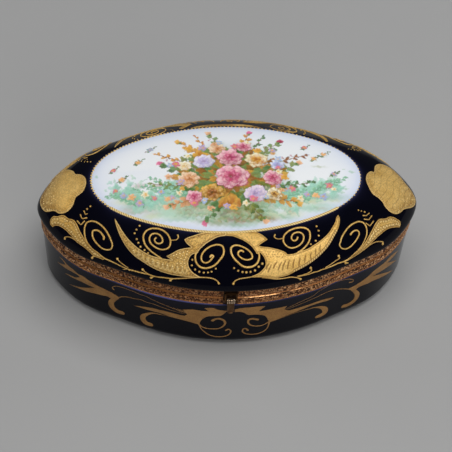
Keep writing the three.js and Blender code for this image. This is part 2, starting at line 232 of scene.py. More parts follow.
def loft(rows, wrap=False, first=None, last=None):
    """Faces through rings of points (each n x 3, counter-clockwise from above, running from the inside of the top
    outward and down). first and last are points that close the ends; wrap joins the last ring to the first."""
    n = len(rows[0])
    verts = np.concatenate(rows)
    m = len(rows)
    j = np.arange(n)
    j1 = (j + 1) % n
    faces, tags = [], []
    for i in range(m if wrap else m - 1):
        a, b = i * n, ((i + 1) % m) * n
        faces.append(np.stack([a + j, b + j, b + j1, a + j1], -1))
        tags.append(np.full(n, i))
    tris = []
    if first is not None:
        k = len(verts)
        verts = np.concatenate([verts, [first]])
        tris.append(np.stack([np.full(n, k), j, j1], -1))
        tags.append(np.full(n, 0))
    if last is not None:
        k = len(verts)
        verts = np.concatenate([verts, [last]])
        b = (m - 1) * n
        tris.append(np.stack([np.full(n, k), b + j1, b + j], -1))
        tags.append(np.full(n, m - 2))
    return verts, [np.concatenate(faces)] + tris, np.concatenate(tags)


def contour(P, N, F, H, sink, wrap, extra=None):
    """Closed raised body over the part of a grid where F > 0. P and N are the grid's points and normals, H the
    height there, sink how deep the underside lies. Returns points, faces and extra (carried to every point)."""
    nv, nt = F.shape
    ins = F > 0
    cols = np.arange(nt if wrap else nt - 1)
    nxt = (cols + 1) % nt
    corner = np.full(F.shape, -1)
    corner[ins] = np.arange(ins.sum())
    n = int(ins.sum())
    pts, nor, hts = [P[ins]], [N[ins]], [H[ins]]
    ex = [extra[ins]] if extra is not None else None

    def crossing(i0, j0, i1, j1):
        nonlocal n
        f0, f1 = F[i0, j0], F[i1, j1]
        w = np.clip(f0 / (f0 - f1), 0.08, 0.92)[:, None]
        pts.append(P[i0, j0] * (1 - w) + P[i1, j1] * w)
        nor.append(unit(N[i0, j0] * (1 - w) + N[i1, j1] * w))
        hts.append(np.zeros(len(f0)))
        if ex is not None:
            ex.append(np.where(ins[i0, j0][:, None], extra[i0, j0], extra[i1, j1]))
        ids = n + np.arange(len(f0))
        n += len(f0)
        return ids

    hor = np.full((nv, len(cols)), -1)
    i, j = np.nonzero(ins[:, cols] != ins[:, nxt])
    hor[i, j] = crossing(i, cols[j], i, nxt[j])
    ver = np.full((nv - 1, nt), -1)
    i, j = np.nonzero(ins[:-1] != ins[1:])
    ver[i, j] = crossing(i, j, i + 1, j)
    a, b, c, d = ins[:-1][:, cols], ins[:-1][:, nxt], ins[1:][:, nxt], ins[1:][:, cols]
    code = a + 2 * b + 4 * c + 8 * d
    top, skirt = [], []
    for case in range(1, 16):
        i, j = np.nonzero(code == case)
        if not len(i):
            continue
        ref = {
            "c0": lambda: corner[i, cols[j]], "c1": lambda: corner[i, nxt[j]],
            "c2": lambda: corner[i + 1, nxt[j]], "c3": lambda: corner[i + 1, cols[j]],
            "e0": lambda: hor[i, j], "e1": lambda: ver[i, nxt[j]], "e2": lambda: hor[i + 1, j], "e3": lambda: ver[i, cols[j]],
        }
        bits = [(case >> k) & 1 for k in range(4)]
        names = []
        for k in range(4):
            if bits[k]:
                names.append(f"c{k}")
            if bits[k] != bits[(k + 1) % 4]:
                names.append(f"e{k}")
        poly = np.stack([ref[m]() for m in names], -1)
        top.append(poly)
        for k in range(len(names)):
            k1 = (k + 1) % len(names)
            if names[k][0] == "e" and names[k1][0] == "e":
                skirt.append(np.stack([poly[:, k], poly[:, k1]], -1))
    pts, nor, hts = np.concatenate(pts), np.concatenate(nor), np.concatenate(hts)
    verts = np.concatenate([pts + nor * hts[:, None], pts - nor * sink])
    faces = top + [p[:, ::-1] + n for p in top]
    s = np.concatenate(skirt)
    faces.append(np.stack([s[:, 1], s[:, 0], s[:, 0] + n, s[:, 1] + n], -1))
    if ex is not None:
        e = np.concatenate(ex)
        return verts, faces, np.concatenate([e, e])
    return verts, faces, None


def spline(points, closed=False, step=0.5, surf=None, corner_deg=50):
    """Dense (t, v, r) samples of a curve through the control points (t in radians), with true corners kept."""
    q = np.array(points, float)
    q[:, 0] = np.unwrap(q[:, 0])
    X = surf(q[:, 1], q[:, 0])
    m = len(q)
    if closed:
        prev, nxt = X - np.roll(X, 1, 0), np.roll(X, -1, 0) - X
    else:
        prev, nxt = np.diff(X, axis=0, prepend=X[:1]), np.diff(X, axis=0, append=X[-1:])
    cosang = (unit(prev) * unit(nxt)).sum(-1)
    corner = cosang < math.cos(math.radians(corner_deg))
    if not closed:
        corner[:] = False
        corner[0] = corner[-1] = True
    out, where = [], []
    for i in range(m if closed else m - 1):
        i1 = (i + 1) % m
        p1, p2 = q[i], q[i1].copy()
        if closed and i1 == 0:
            p2[0] += 2 * np.pi * round((p1[0] - p2[0]) / (2 * np.pi))
        p0 = q[i - 1].copy() if (i > 0 or closed) else p1
        p3 = q[(i + 2) % m].copy() if (i + 2 < m or closed) else p2
        for o in (p0, p3):
            o[0] += 2 * np.pi * round((p1[0] - o[0]) / (2 * np.pi))
        d = [max(1e-6, np.linalg.norm(surf(a_[1], a_[0]) - surf(b_[1], b_[0]))) for a_, b_ in ((p0, p1), (p1, p2), (p2, p3))]
        m1 = (p2 - p1) if corner[i] else ((p1 - p0) / d[0] - (p2 - p0) / (d[0] + d[1]) + (p2 - p1) / d[1]) * d[1]
        m2 = (p2 - p1) if corner[i1] else ((p2 - p1) / d[1] - (p3 - p1) / (d[1] + d[2]) + (p3 - p2) / d[2]) * d[1]
        k = max(2, int(math.ceil(d[1] / step)))
        h = np.arange(k)[:, None] / k
        where.append(len(out) if not out else sum(len(o_) for o_ in out))
        out.append((2 * h**3 - 3 * h**2 + 1) * p1 + (h**3 - 2 * h**2 + h) * m1 + (-2 * h**3 + 3 * h**2) * p2 + (h**3 - h**2) * m2)
    out = np.concatenate(out + ([] if closed else [q[-1:]]))
    return out, where


class Relief:
    """Height field of the gilding on a chart (v rows, t columns) of a surface."""

    def __init__(self, surf, v, t, P, N):
        self.surf, self.v, self.t, self.P, self.N = surf, v, t, P, N
        self.F = np.full(P.shape[:2], -1.0)  # distance inside the gilding's edge
        self.H = np.zeros(P.shape[:2])
        self.T = np.zeros(P.shape[:2] + (3,))  # engraving with its painted shade, painted highlight, plain grain

    def window(self, v, t, pad_v, pad_t):
        mid = (t.min() + t.max()) / 2
        rel = (self.t - mid + np.pi) % (2 * np.pi) - np.pi
        half = (t.max() - t.min()) / 2 + pad_t
        cols = np.nonzero(np.abs(rel) < half)[0]
        rows = np.nonzero((self.v > v.min() - pad_v) & (self.v < v.max() + pad_v))[0]
        return rows, cols, rel[cols] + mid

    @staticmethod
    def segments(sub, a, b, ra, rb):
        """Largest of radius - distance over the segments, and the radius, segment and place there."""
        best = np.full(sub.shape[:-1], -99.0)
        rad = np.zeros_like(best)
        seg = np.zeros(best.shape, int)
        par = np.zeros_like(best)
        for k in range(len(a)):
            ab = b[k] - a[k]
            l2 = max(1e-9, ab @ ab)
            ap = sub - a[k]
            h = np.clip((ap @ ab) / l2, 0, 1)
            dist = np.sqrt(np.maximum(0, ((ap - h[..., None] * ab) ** 2).sum(-1)))
            r = ra[k] + (rb[k] - ra[k]) * h
            f = r - dist
            up = f > best
            best, rad = np.where(up, f, best), np.where(up, r, rad)
            seg, par = np.where(up, k, seg), np.where(up, h, par)
        return best, rad, seg, par

    def stroke(self, points, r0, pads, height=0.42, engrave=None):
        pts = [(math.radians(p[0]), p[1], (p[2] if len(p) > 2 else r0)) for p in points]
        q, _ = spline(pts, surf=self.surf, step=0.7)
        X = self.surf(q[:, 1], q[:, 0])
        r = np.maximum(0.12, q[:, 2])
        for k in range(0, len(q) - 1, 8):
            e = min(k + 8, len(q) - 1)
            rows, cols, _t = self.window(q[k:e + 1, 1], q[k:e + 1, 0], *pads)
            if not len(rows) or not len(cols):
                continue
            ix = np.ix_(rows, cols)
            f, rad, _s, _h = self.segments(self.P[ix], X[k:e], X[k + 1:e + 1], r[k:e], r[k + 1:e + 1])
            # an engraved line: its darkening is painted shade in the groove, its brightening a painted highlight on a
            # raised line
            if engrave:
                depth, dark, painted_highlight = engrave
                g = np.exp(-np.clip((rad - f) / np.maximum(rad, 0.05), 0, 4) ** 2)
                self.G[ix] = np.maximum(self.G[ix], g * depth) if depth > 0 else np.minimum(self.G[ix], g * depth)
                self.D[ix] = np.maximum(self.D[ix], g * dark) * (1 - g * painted_highlight)
                self.S[ix] = np.maximum(self.S[ix], g * painted_highlight)
                continue
            e_ = np.clip(f / np.maximum(rad, 0.05), 0, 1)
            h = np.minimum(height, 0.62 * rad) * np.sqrt(np.maximum(0, 1 - (1 - e_) ** 2.2))
            self.F[ix] = np.maximum(self.F[ix], f)
            self.H[ix] = np.maximum(self.H[ix], np.where(f > 0, h, 0))

    def dots(self, points, r0, pads):
        for p in points:
            t, v, r = math.radians(p[0]), p[1], (p[2] if len(p) > 2 else r0)
            rows, cols, _t = self.window(np.array([v]), np.array([t]), *pads)
            ix = np.ix_(rows, cols)
            f = r - np.linalg.norm(self.P[ix] - self.surf(np.array([v]), np.array([t]))[0], axis=-1)
            e_ = np.clip(f / r, 0, 1)
            self.F[ix] = np.maximum(self.F[ix], f)
            self.H[ix] = np.maximum(self.H[ix], np.where(f > 0, 0.72 * r * np.sqrt(np.maximum(0, 1 - (1 - e_) ** 2)), 0))

    def poly(self, points, pads, height, finish=None, corner_deg=50):
        pts = [(math.radians(p[0]), p[1], 0) for p in points]
        q, where = spline(pts, closed=True, surf=self.surf, step=0.8, corner_deg=corner_deg)
        X = self.surf(np.maximum(q[:, 1], 0.0), q[:, 0])
        rows, cols, tt = self.window(q[:, 1], q[:, 0], *pads)
        ix = np.ix_(rows, cols)
        sub = self.P[ix]
        zero = np.zeros(len(X))
        f, _r, seg, par = self.segments(sub, X, np.roll(X, -1, 0), zero, zero)
        T, V = np.broadcast_to(tt, f.shape), np.broadcast_to(self.v[rows][:, None], f.shape)
        odd = np.zeros(f.shape, bool)
        for (t0, v0, _), (t1, v1, _) in zip(q, np.roll(q, -1, 0)):
            t1 = t1 + 2 * np.pi * round((t0 - t1) / (2 * np.pi))
            if v0 == v1:
                continue
            hit = ((V >= min(v0, v1)) & (V < max(v0, v1))) & (T < t0 + (V - v0) / (v1 - v0) * (t1 - t0))
            odd ^= hit
        d = np.where(odd, -f, f)
        s = np.concatenate([[0], np.cumsum(np.linalg.norm(np.roll(X, -1, 0) - X, axis=1))])
        along = s[seg] + par * (s[seg + 1] - s[seg])
        e_ = np.clip(d / 0.55, 0, 1)
        h = height * np.sqrt(np.maximum(0, 1 - (1 - e_) ** 2))
        tone = np.zeros(f.shape + (3,))
        if finish:
            dh, tone = finish(d=d, along=along, s=s, where=where, T=T, V=V, X=sub, seg=seg)
            h = np.maximum(0.05, h + dh * e_)
        up = (d > 0) & (h > self.H[ix])
        self.F[ix] = np.maximum(self.F[ix], d)
        self.H[ix] = np.where(up, h, self.H[ix])
        self.T[ix] = np.where(up[..., None], tone, self.T[ix])

# ================================================================ ornament
# Control points of the gilding on the front half. Lid: (angle in degrees, u); base: (angle in degrees, height in mm);
# a third number is the half width of the line in mm. The back half mirrors the front.
LID_ORNAMENT = {
    "cart_L": ("poly", [
        (-177.8, .0297), (-174.3, .0322), (-170.6, .0371), (-167.8, .0489), (-166.3, .0688), (-165.3, .0915),
        (-163.8, .1088), (-161.9, .1164), (-160.4, .1379), (-159.7, .1662), (-160.0, .1977), (-161.1, .2303),
        (-162.8, .2609), (-165.4, .2894), (-167.7, .3130), (-169.1, .3472), (-170.6, .3804), (-174.4, .4126),
        (-178.1, .4285), (-179.2, .4292), (174.4, .4136), (169.5, .3579), (167.7, .3095), (163.7, .2639),
        (160.3, .1936), (157.7, .0987), (157.8, .0399), (165.2, .0577), (171.2, .0465), (177.3, .0314),
    ]),
    "fan_L": ("poly", [
        (-158.1, .0248), (-159.9, .0246), (-161.3, .0351), (-162.2, .0537), (-162.2, .0778), (-160.6, .0989),
        (-160.0, .1224), (-159.0, .1411), (-156.9, .1481), (-155.7, .1518), (-154.8, .1637), (-152.9, .1702),
        (-150.4, .1591), (-148.0, .1398), (-145.2, .1180), (-142.3, .0972), (-139.2, .0769), (-136.0, .0616),
        (-133.0, .0521), (-129.8, .0383), (-127.7, .0310), (-128.0, .0169), (-130.7, .0190), (-133.5, .0192),
        (-136.6, .0321), (-140.0, .0440), (-142.6, .0483), (-144.9, .0512), (-147.3, .0622), (-149.5, .0669),
        (-152.1, .0703), (-154.4, .0670), (-156.7, .0547), (-157.7, .0399),
    ]),
    "tendril_L": ("stroke", [
        (-142.1, .0524, 0.5), (-145.2, .0568, 0.55), (-147.0, .0571, 0.55), (-148.6, .0515, 0.5),
        (-149.8, .0398, 0.5), (-150.2, .0290, 0.7), (-149.7, .0243, 0.8),
    ]),
    "oval_L": ("stroke", [
        (-137.1, .0639, 0.5), (-140.0, .0823, 0.6), (-142.9, .1110, 0.75), (-145.5, .1504, 0.8),
        (-147.2, .1840, 0.8), (-148.3, .2206, 0.8), (-147.9, .2535, 0.8), (-146.0, .2748, 0.8),
        (-142.7, .2724, 0.8), (-138.3, .2460, 0.85), (-134.4, .2061, 0.85), (-131.3, .1690, 0.8),
        (-129.0, .1349, 0.75), (-128.3, .1070, 0.7), (-129.9, .0889, 0.7), (-132.4, .0890, 0.75),
        (-135.6, .1043, 0.8), (-139.0, .1289, 0.85), (-141.5, .1603, 0.85), (-142.6, .1867, 0.85),
        (-142.0, .2062, 0.85), (-140.1, .2114, 0.85), (-137.5, .1941, 0.9), (-135.9, .1779, 1.0),
        (-135.3, .1639, 1.0),
    ]),
    "v1_L": ("stroke", [
        (-152.1, .1839, 0.7), (-149.3, .1757, 0.5),
    ]),
    "v1b_L": ("stroke", [
        (-149.8, .2193, 0.75), (-149.2, .1773, 0.5),
    ]),
    "v2_L": ("stroke", [
        (-154.3, .2426, 0.7), (-151.8, .2252, 0.5),
    ]),
    "v2b_L": ("stroke", [
        (-150.9, .2571, 0.75), (-151.6, .2266, 0.5),
    ]),
    "v3_L": ("stroke", [
        (-155.7, .2910, 0.65), (-153.2, .2751, 0.45),
    ]),
    "v3b_L": ("stroke", [
        (-153.1, .2894, 0.6), (-153.1, .2741, 0.45),
    ]),
    "vd_L": ("dots", [
        (-156.0, .3229, 0.75), (-156.9, .3621, 0.75),
    ]),
    "vine_L": ("stroke", [
        (-128.3, .0278, 0.8), (-125.0, .0248, 0.75), (-121.4, .0200, 0.6), (-118.5, .0153, 0.6),
        (-116.2, .0134, 0.6), (-113.8, .0145, 0.6), (-111.3, .0170, 0.65), (-109.0, .0192, 0.65),
        (-106.9, .0185, 0.6), (-105.0, .0238, 0.65), (-102.8, .0299, 0.6), (-100.8, .0424, 0.6),
        (-98.8, .0556, 0.6), (-97.8, .0618, 0.6), (-96.6, .0659, 0.6), (-95.1, .0659, 0.6),
        (-94.2, .0585, 0.6), (-93.6, .0468, 0.65), (-93.3, .0346, 0.9),
    ]),
    "bud1_L": ("stroke", [
        (-116.0, .0201, 0.5), (-118.5, .0294, 0.5), (-120.8, .0404, 0.55), (-122.1, .0509, 0.85),
    ]),
    "bud2_L": ("stroke", [
        (-115.7, .0138, 0.5), (-117.0, .0064, 0.5), (-117.6, .0024, 0.7),
    ]),
    "bud3_L": ("stroke", [
        (-109.0, .0208, 0.5), (-110.4, .0284, 0.5), (-111.3, .0369, 0.85),
    ]),
    "bud4_L": ("stroke", [
        (-107.3, .0184, 0.4), (-108.0, .0077, 0.9),
    ]),
    "bud5_L": ("stroke", [
        (-102.8, .0299, 0.4), (-103.3, .0178, 0.9),
    ]),
    "bud6_L": ("stroke", [
        (-131.0, .0261, 0.6), (-132.9, .0217, 0.6), (-133.9, .0155, 0.6), (-133.9, .0078, 0.8),
    ]),
    "spiral_L": ("stroke", [
        (-108.5, .1499, 0.7), (-111.1, .1696, 0.75), (-113.8, .1933, 0.8), (-116.4, .2214, 0.85),
        (-119.3, .2669, 0.9), (-121.6, .3140, 0.9), (-123.2, .3698, 0.85), (-123.2, .4158, 0.85),
        (-121.5, .4397, 0.85), (-118.9, .4404, 0.85), (-115.3, .4113, 0.85), (-112.3, .3676, 0.85),
        (-110.1, .3146, 0.85), (-109.1, .2648, 0.8), (-109.7, .2326, 0.75), (-111.3, .2243, 0.75),
        (-113.6, .2364, 0.8), (-116.3, .2655, 0.85), (-118.6, .3104, 0.85), (-119.7, .3535, 0.85),
        (-119.1, .3787, 0.8), (-116.9, .3753, 0.8), (-114.4, .3431, 0.8), (-112.8, .3024, 0.8),
        (-113.1, .2787, 0.8), (-114.5, .2806, 0.8), (-116.3, .3104, 0.8), (-116.6, .3309, 0.9),
    ]),
    "hook_L": ("stroke", [
        (-111.0, .3418, 0.5), (-109.9, .3492, 0.5), (-109.2, .3663, 0.55), (-109.7, .3933, 0.65),
        (-110.6, .4122, 0.8),
    ]),
    "dots_L": ("dots", [
        (-128.6, .4206, 0.8), (-127.6, .3668, 0.75), (-126.3, .3199, 0.8), (-122.5, .2631, 0.8),
        (-120.2, .2305, 0.8), (-117.8, .1992, 0.85), (-115.3, .1790, 0.85), (-113.4, .1641, 0.75),
    ]),
    "field_L": ("poly", [
        (-141.8, .4005), (-138.5, .3514), (-134.8, .3021), (-129.7, .2358), (-124.9, .1815), (-120.6, .1390),
        (-116.8, .1085), (-113.2, .0879), (-110.4, .0721), (-107.9, .0601), (-105.5, .0532), (-103.4, .0514),
        (-100.9, .0542), (-98.8, .0577), (-97.6, .0587), (-96.9, .0647), (-98.1, .0769), (-99.4, .0982),
        (-100.4, .1242), (-101.1, .1565), (-101.4, .1871), (-101.4, .2220), (-100.8, .2452), (-100.0, .2510),
        (-100.0, .2850), (-99.4, .3392), (-98.0, .3950), (-96.0, .4385), (-93.3, .4540), (-93.6, .4972),
        (-98.8, .4935), (-103.7, .4610), (-105.2, .4318), (-106.4, .4062), (-106.9, .3753), (-105.6, .3474),
        (-103.6, .3158), (-102.7, .3028), (-104.4, .2859), (-105.9, .2543), (-106.8, .2095), (-107.6, .1779),
        (-106.5, .1644), (-105.4, .1589), (-107.0, .1531), (-108.5, .1499), (-109.7, .1497), (-111.9, .1509),
        (-114.7, .1624), (-118.1, .1814), (-122.5, .2141), (-127.3, .2562), (-132.3, .3080), (-137.1, .3585),
        (-140.0, .3863),
    ]),
    "comega_L": ("stroke", [
        (-100.5, .2632, 0.9), (-100.2, .2209, 0.9), (-99.6, .1840, 0.9), (-98.9, .1586, 0.9),
        (-98.0, .1401, 0.9), (-97.0, .1334, 0.9), (-95.9, .1412, 0.9), (-94.8, .1644, 0.9),
        (-93.9, .2084, 0.95), (-93.2, .2622, 0.95), (-93.3, .3094, 0.9), (-94.0, .3468, 0.9),
        (-95.2, .3566, 0.85), (-96.9, .3436, 0.85), (-98.1, .3114, 0.85), (-98.7, .2633, 0.85),
        (-98.6, .2210, 0.85), (-98.1, .1906, 0.85), (-97.2, .1759, 0.8), (-96.4, .1867, 0.8),
        (-95.9, .2134, 0.85), (-95.7, .2429, 0.9), (-96.2, .2483, 0.95), (-96.4, .2307, 1.0),
    ]),
    "cdots_L": ("dots", [
        (-100.5, .1887, 0.8), (-100.0, .1432, 0.8), (-98.9, .1152, 0.85), (-97.8, .1023, 0.85),
        (-96.8, .0990, 0.8), (-95.9, .1032, 0.75), (-95.2, .1120, 0.75), (-94.4, .1363, 0.75),
    ]),
    "cart_R": ("poly", [
        (-3.7, .4801), (4.1, .4585), (7.3, .4150), (7.1, .3927), (15.3, .3318), (19.1, .2534), (19.3, .1890),
        (18.0, .1414), (14.2, .1180), (6.3, .0992), (1.8, .0537), (-3.3, .0135), (-8.5, .0169),
        (-12.8, .0343), (-15.6, .0599), (-18.2, .0848), (-20.5, .0923), (-23.4, .1165), (-24.4, .1689),
        (-23.2, .2266), (-20.5, .2791), (-18.6, .3281), (-16.8, .3885), (-10.7, .4546),
    ]),
    "fan_R": ("poly", [
        (-27.1, .0306), (-25.6, .0365), (-24.8, .0554), (-25.1, .0871), (-25.7, .1209), (-26.9, .1465),
        (-28.8, .1566), (-30.0, .1735), (-31.2, .1904), (-33.7, .1884), (-36.4, .1723), (-39.5, .1479),
        (-43.0, .1182), (-46.5, .0884), (-50.1, .0633), (-54.5, .0481), (-57.8, .0324), (-60.3, .0251),
        (-62.4, .0217), (-62.1, .0155), (-60.1, .0168), (-57.4, .0203), (-54.5, .0260), (-51.3, .0340),
        (-48.3, .0449), (-45.4, .0567), (-42.4, .0688), (-39.5, .0796), (-36.9, .0839), (-33.5, .0855),
        (-31.1, .0738), (-28.7, .0510),
    ]),
    "tendril_R": ("stroke", [
        (-49.6, .0408, 0.5), (-47.0, .0494, 0.5), (-44.6, .0562, 0.5), (-41.8, .0556, 0.5),
        (-39.6, .0429, 0.55), (-38.5, .0261, 0.7), (-39.1, .0184, 0.9),
    ]),
    "oval_R": ("stroke", [
        (-52.4, .0559, 0.5), (-49.1, .0752, 0.6), (-45.7, .1077, 0.7), (-42.9, .1393, 0.75),
        (-41.0, .1719, 0.75), (-39.4, .2129, 0.8), (-38.7, .2521, 0.8), (-39.4, .2824, 0.8),
        (-42.0, .2939, 0.8), (-45.8, .2835, 0.8), (-50.7, .2442, 0.8), (-54.8, .2003, 0.8),
        (-57.3, .1645, 0.75), (-58.4, .1499, 0.75), (-59.0, .1195, 0.7), (-58.1, .0999, 0.7),
        (-55.5, .0978, 0.75), (-51.9, .1173, 0.75), (-47.8, .1504, 0.8), (-45.2, .1822, 0.8),
        (-44.7, .2096, 0.8), (-46.0, .2215, 0.8), (-47.9, .2144, 0.85), (-49.3, .2020, 1.0),
    ]),
    "v1_R": ("stroke", [
        (-31.4, .2954, 0.6), (-33.8, .2946, 0.45),
    ]),
    "v1b_R": ("stroke", [
        (-34.7, .3145, 0.7), (-33.9, .2945, 0.45),
    ]),
    "v2_R": ("stroke", [
        (-32.0, .2614, 0.65), (-35.2, .2471, 0.5),
    ]),
    "v2b_R": ("stroke", [
        (-36.4, .2756, 0.7), (-35.3, .2485, 0.5),
    ]),
    "v3_R": ("stroke", [
        (-34.4, .2096, 0.7), (-37.8, .1928, 0.5),
    ]),
    "v3b_R": ("stroke", [
        (-38.0, .2309, 0.7), (-37.9, .1960, 0.5),
    ]),
    "vd_R": ("dots", [
        (-33.0, .3847, 0.65), (-32.6, .3600, 0.6), (-32.1, .3330, 0.75),
    ]),
    "vine_R": ("stroke", [
        (-59.9, .0199, 0.9), (-62.5, .0201, 0.75), (-64.4, .0230, 0.7), (-66.3, .0216, 0.7),
        (-67.9, .0214, 0.7), (-69.5, .0211, 0.6), (-70.2, .0226, 0.6), (-71.7, .0205, 0.6),
        (-72.7, .0225, 0.55), (-74.2, .0217, 0.55), (-75.7, .0231, 0.55), (-77.1, .0271, 0.6),
    ]),
    "bud1_R": ("stroke", [
        (-69.0, .0274, 0.5), (-67.0, .0338, 0.5), (-64.6, .0438, 0.55), (-62.7, .0513, 0.65),
        (-62.5, .0669, 1.0),
    ]),
    "bud2_R": ("stroke", [
        (-61.7, .0214, 0.5), (-61.5, .0078, 0.8),
    ]),
    "bud2b_R": ("stroke", [
        (-61.6, .0152, 0.5), (-60.6, .0050, 0.75),
    ]),
    "bud3_R": ("stroke", [
        (-77.1, .0271, 0.5), (-75.6, .0269, 0.5), (-74.2, .0300, 0.55), (-73.2, .0383, 0.6),
        (-73.1, .0556, 1.0),
    ]),
    "lip_R": ("stroke", [
        (-84.7, .0609, 0.5), (-83.4, .0518, 0.5), (-82.2, .0409, 0.55), (-80.1, .0337, 0.6),
        (-78.7, .0322, 0.6), (-77.3, .0201, 0.6), (-76.6, .0094, 0.9),
    ]),
    "spiral_R": ("stroke", [
        (-73.7, .1981, 0.7), (-71.6, .2151, 0.75), (-69.4, .2412, 0.8), (-67.0, .2786, 0.85),
        (-64.5, .3297, 0.9), (-62.6, .3821, 0.9), (-62.2, .4259, 0.9), (-63.7, .4531, 0.9),
        (-66.4, .4563, 0.85), (-70.1, .4344, 0.85), (-73.1, .3922, 0.85), (-74.7, .3449, 0.85),
        (-75.2, .2937, 0.8), (-74.7, .2601, 0.75), (-73.0, .2514, 0.75), (-70.6, .2700, 0.8),
        (-68.2, .3088, 0.85), (-66.4, .3578, 0.85), (-66.2, .3934, 0.8), (-67.7, .4063, 0.8),
        (-69.9, .3866, 0.8), (-71.6, .3472, 0.8), (-71.5, .3210, 0.8), (-70.2, .3272, 0.85),
        (-69.2, .3466, 0.95),
    ]),
    "hook_R": ("stroke", [
        (-74.0, .3742, 0.5), (-75.4, .3726, 0.5), (-76.3, .3871, 0.55), (-76.3, .4092, 0.65),
        (-75.5, .4260, 0.8),
    ]),
    "dots_R": ("dots", [
        (-57.5, .4140, 0.85), (-59.2, .3578, 0.8), (-61.7, .3034, 0.8), (-65.0, .2591, 0.85),
        (-67.8, .2403, 0.75),
    ]),
    "field_R": ("poly", [
        (-42.8, .4542), (-44.2, .4142), (-47.6, .3562), (-52.4, .2901), (-57.1, .2364), (-62.0, .1797),
        (-65.8, .1421), (-69.0, .1140), (-71.7, .0926), (-73.8, .0785), (-75.8, .0673), (-77.6, .0573),
        (-79.1, .0478), (-80.7, .0449), (-82.1, .0446), (-83.4, .0548), (-84.7, .0650), (-86.5, .0677),
        (-86.7, .0803), (-85.4, .0922), (-84.3, .1147), (-83.4, .1426), (-83.0, .1776), (-83.0, .2165),
        (-83.3, .2491), (-83.6, .2648), (-84.5, .2504), (-84.7, .2800), (-85.1, .3236), (-86.5, .3811),
        (-88.7, .4236), (-90.8, .4484), (-93.4, .4542), (-93.7, .4974), (-86.9, .4940), (-80.3, .4594),
        (-79.6, .4262), (-79.2, .3871), (-81.3, .3613), (-83.0, .3357), (-82.2, .3214), (-80.5, .3059),
        (-79.0, .2833), (-77.6, .2527), (-76.8, .2209), (-76.7, .2033), (-75.3, .1980), (-73.7, .1996),
        (-71.9, .2037), (-70.0, .2074), (-67.6, .2223), (-64.9, .2375), (-61.5, .2609), (-57.1, .2968),
        (-52.5, .3448), (-48.1, .3940), (-45.0, .4371),
    ]),
    "comega_R": ("stroke", [
        (-83.9, .2701, 0.9), (-84.0, .2347, 0.9), (-84.5, .1968, 0.95), (-85.2, .1684, 0.95),
        (-86.1, .1516, 0.95), (-87.3, .1459, 0.95), (-88.4, .1564, 0.95), (-89.5, .1908, 0.95),
        (-90.6, .2359, 0.95), (-91.2, .2845, 0.95), (-91.2, .3292, 0.95), (-90.3, .3513, 0.9),
        (-89.0, .3504, 0.85), (-87.6, .3292, 0.85), (-86.4, .2942, 0.85), (-85.8, .2516, 0.85),
        (-85.9, .2227, 0.85), (-86.7, .2089, 0.8), (-87.9, .2136, 0.8), (-88.9, .2359, 0.8),
        (-89.4, .2663, 0.85), (-89.1, .2886, 0.9), (-88.3, .2962, 0.95), (-87.9, .2859, 0.95),
    ]),
    "cdots_R": ("dots", [
        (-90.4, .1440, 0.8), (-89.5, .1229, 0.85), (-88.6, .1119, 0.9), (-87.8, .1083, 0.95),
        (-86.9, .1091, 0.9), (-85.9, .1174, 0.95), (-84.9, .1432, 0.9), (-83.9, .1640, 0.95),
    ]),
    "curl_R": ("stroke", [
        (-84.9, .0662, 0.5), (-86.4, .0727, 0.55), (-87.9, .0694, 0.55), (-89.4, .0626, 0.6),
        (-90.2, .0499, 0.65), (-90.5, .0339, 0.95),
    ]),
    "scallop0_L": ("ridge", [
        (-118.8, .1551, 0.3), (-117.6, .1280, 0.34), (-116.2, .1134, 0.34), (-116.2, .1376, 0.34),
        (-117.3, .1655, 0.3),
    ]),
    "scallop1_L": ("ridge", [
        (-116.2, .1389, 0.3), (-115.2, .1127, 0.34), (-113.9, .0991, 0.34), (-114.0, .1222, 0.34),
        (-114.9, .1489, 0.3),
    ]),
    "scallop2_L": ("ridge", [
        (-113.8, .1274, 0.3), (-112.9, .1027, 0.34), (-111.8, .0889, 0.34), (-111.7, .1112, 0.34),
        (-112.5, .1376, 0.3),
    ]),
    "scallop3_L": ("ridge", [
        (-111.7, .1202, 0.3), (-110.9, .0956, 0.34), (-109.8, .0819, 0.34), (-109.8, .1037, 0.34),
        (-110.5, .1293, 0.3),
    ]),
    "scallop4_L": ("ridge", [
        (-109.9, .1168, 0.3), (-109.2, .0925, 0.34), (-108.2, .0787, 0.34), (-108.1, .0998, 0.34),
        (-108.7, .1251, 0.3),
    ]),
    "scallop5_L": ("ridge", [
        (-108.3, .1138, 0.3), (-107.7, .0895, 0.34), (-106.8, .0758, 0.34), (-106.7, .0965, 0.34),
        (-107.2, .1216, 0.3),
    ]),
    "scallop6_L": ("ridge", [
        (-107.0, .1135, 0.3), (-106.5, .0893, 0.34), (-105.6, .0753, 0.34), (-105.5, .0962, 0.34),
        (-106.0, .1211, 0.3),
    ]),
    "scallop7_L": ("ridge", [
        (-105.6, .1119, 0.3), (-105.1, .0876, 0.34), (-104.3, .0735, 0.34), (-104.2, .0937, 0.34),
        (-104.6, .1189, 0.3),
    ]),
    "scallop8_L": ("ridge", [
        (-104.2, .1068, 0.3), (-103.7, .0829, 0.34), (-103.0, .0685, 0.34), (-102.8, .0886, 0.34),
        (-103.2, .1133, 0.3),
    ]),
    "scallop9_L": ("ridge", [
        (-102.9, .1106, 0.3), (-102.5, .0864, 0.34), (-101.8, .0721, 0.34), (-101.6, .0915, 0.34),
        (-102.0, .1166, 0.3),
    ]),
    "scallop10_L": ("ridge", [
        (-101.9, .1151, 0.3), (-101.5, .0908, 0.34), (-100.8, .0754, 0.34), (-100.6, .0955, 0.34),
        (-100.9, .1208, 0.3),
    ]),
    "hollows_L": ("shade", [
        (-117.0, .1362, 1.15), (-114.7, .1204, 1.15), (-112.4, .1099, 1.15), (-110.4, .1025, 1.15),
        (-108.7, .0986, 1.15), (-107.3, .0956, 1.15), (-106.0, .0952, 1.15), (-104.7, .0934, 1.15),
        (-103.3, .0883, 1.15), (-102.1, .0917, 1.15), (-101.1, .0957, 1.15),
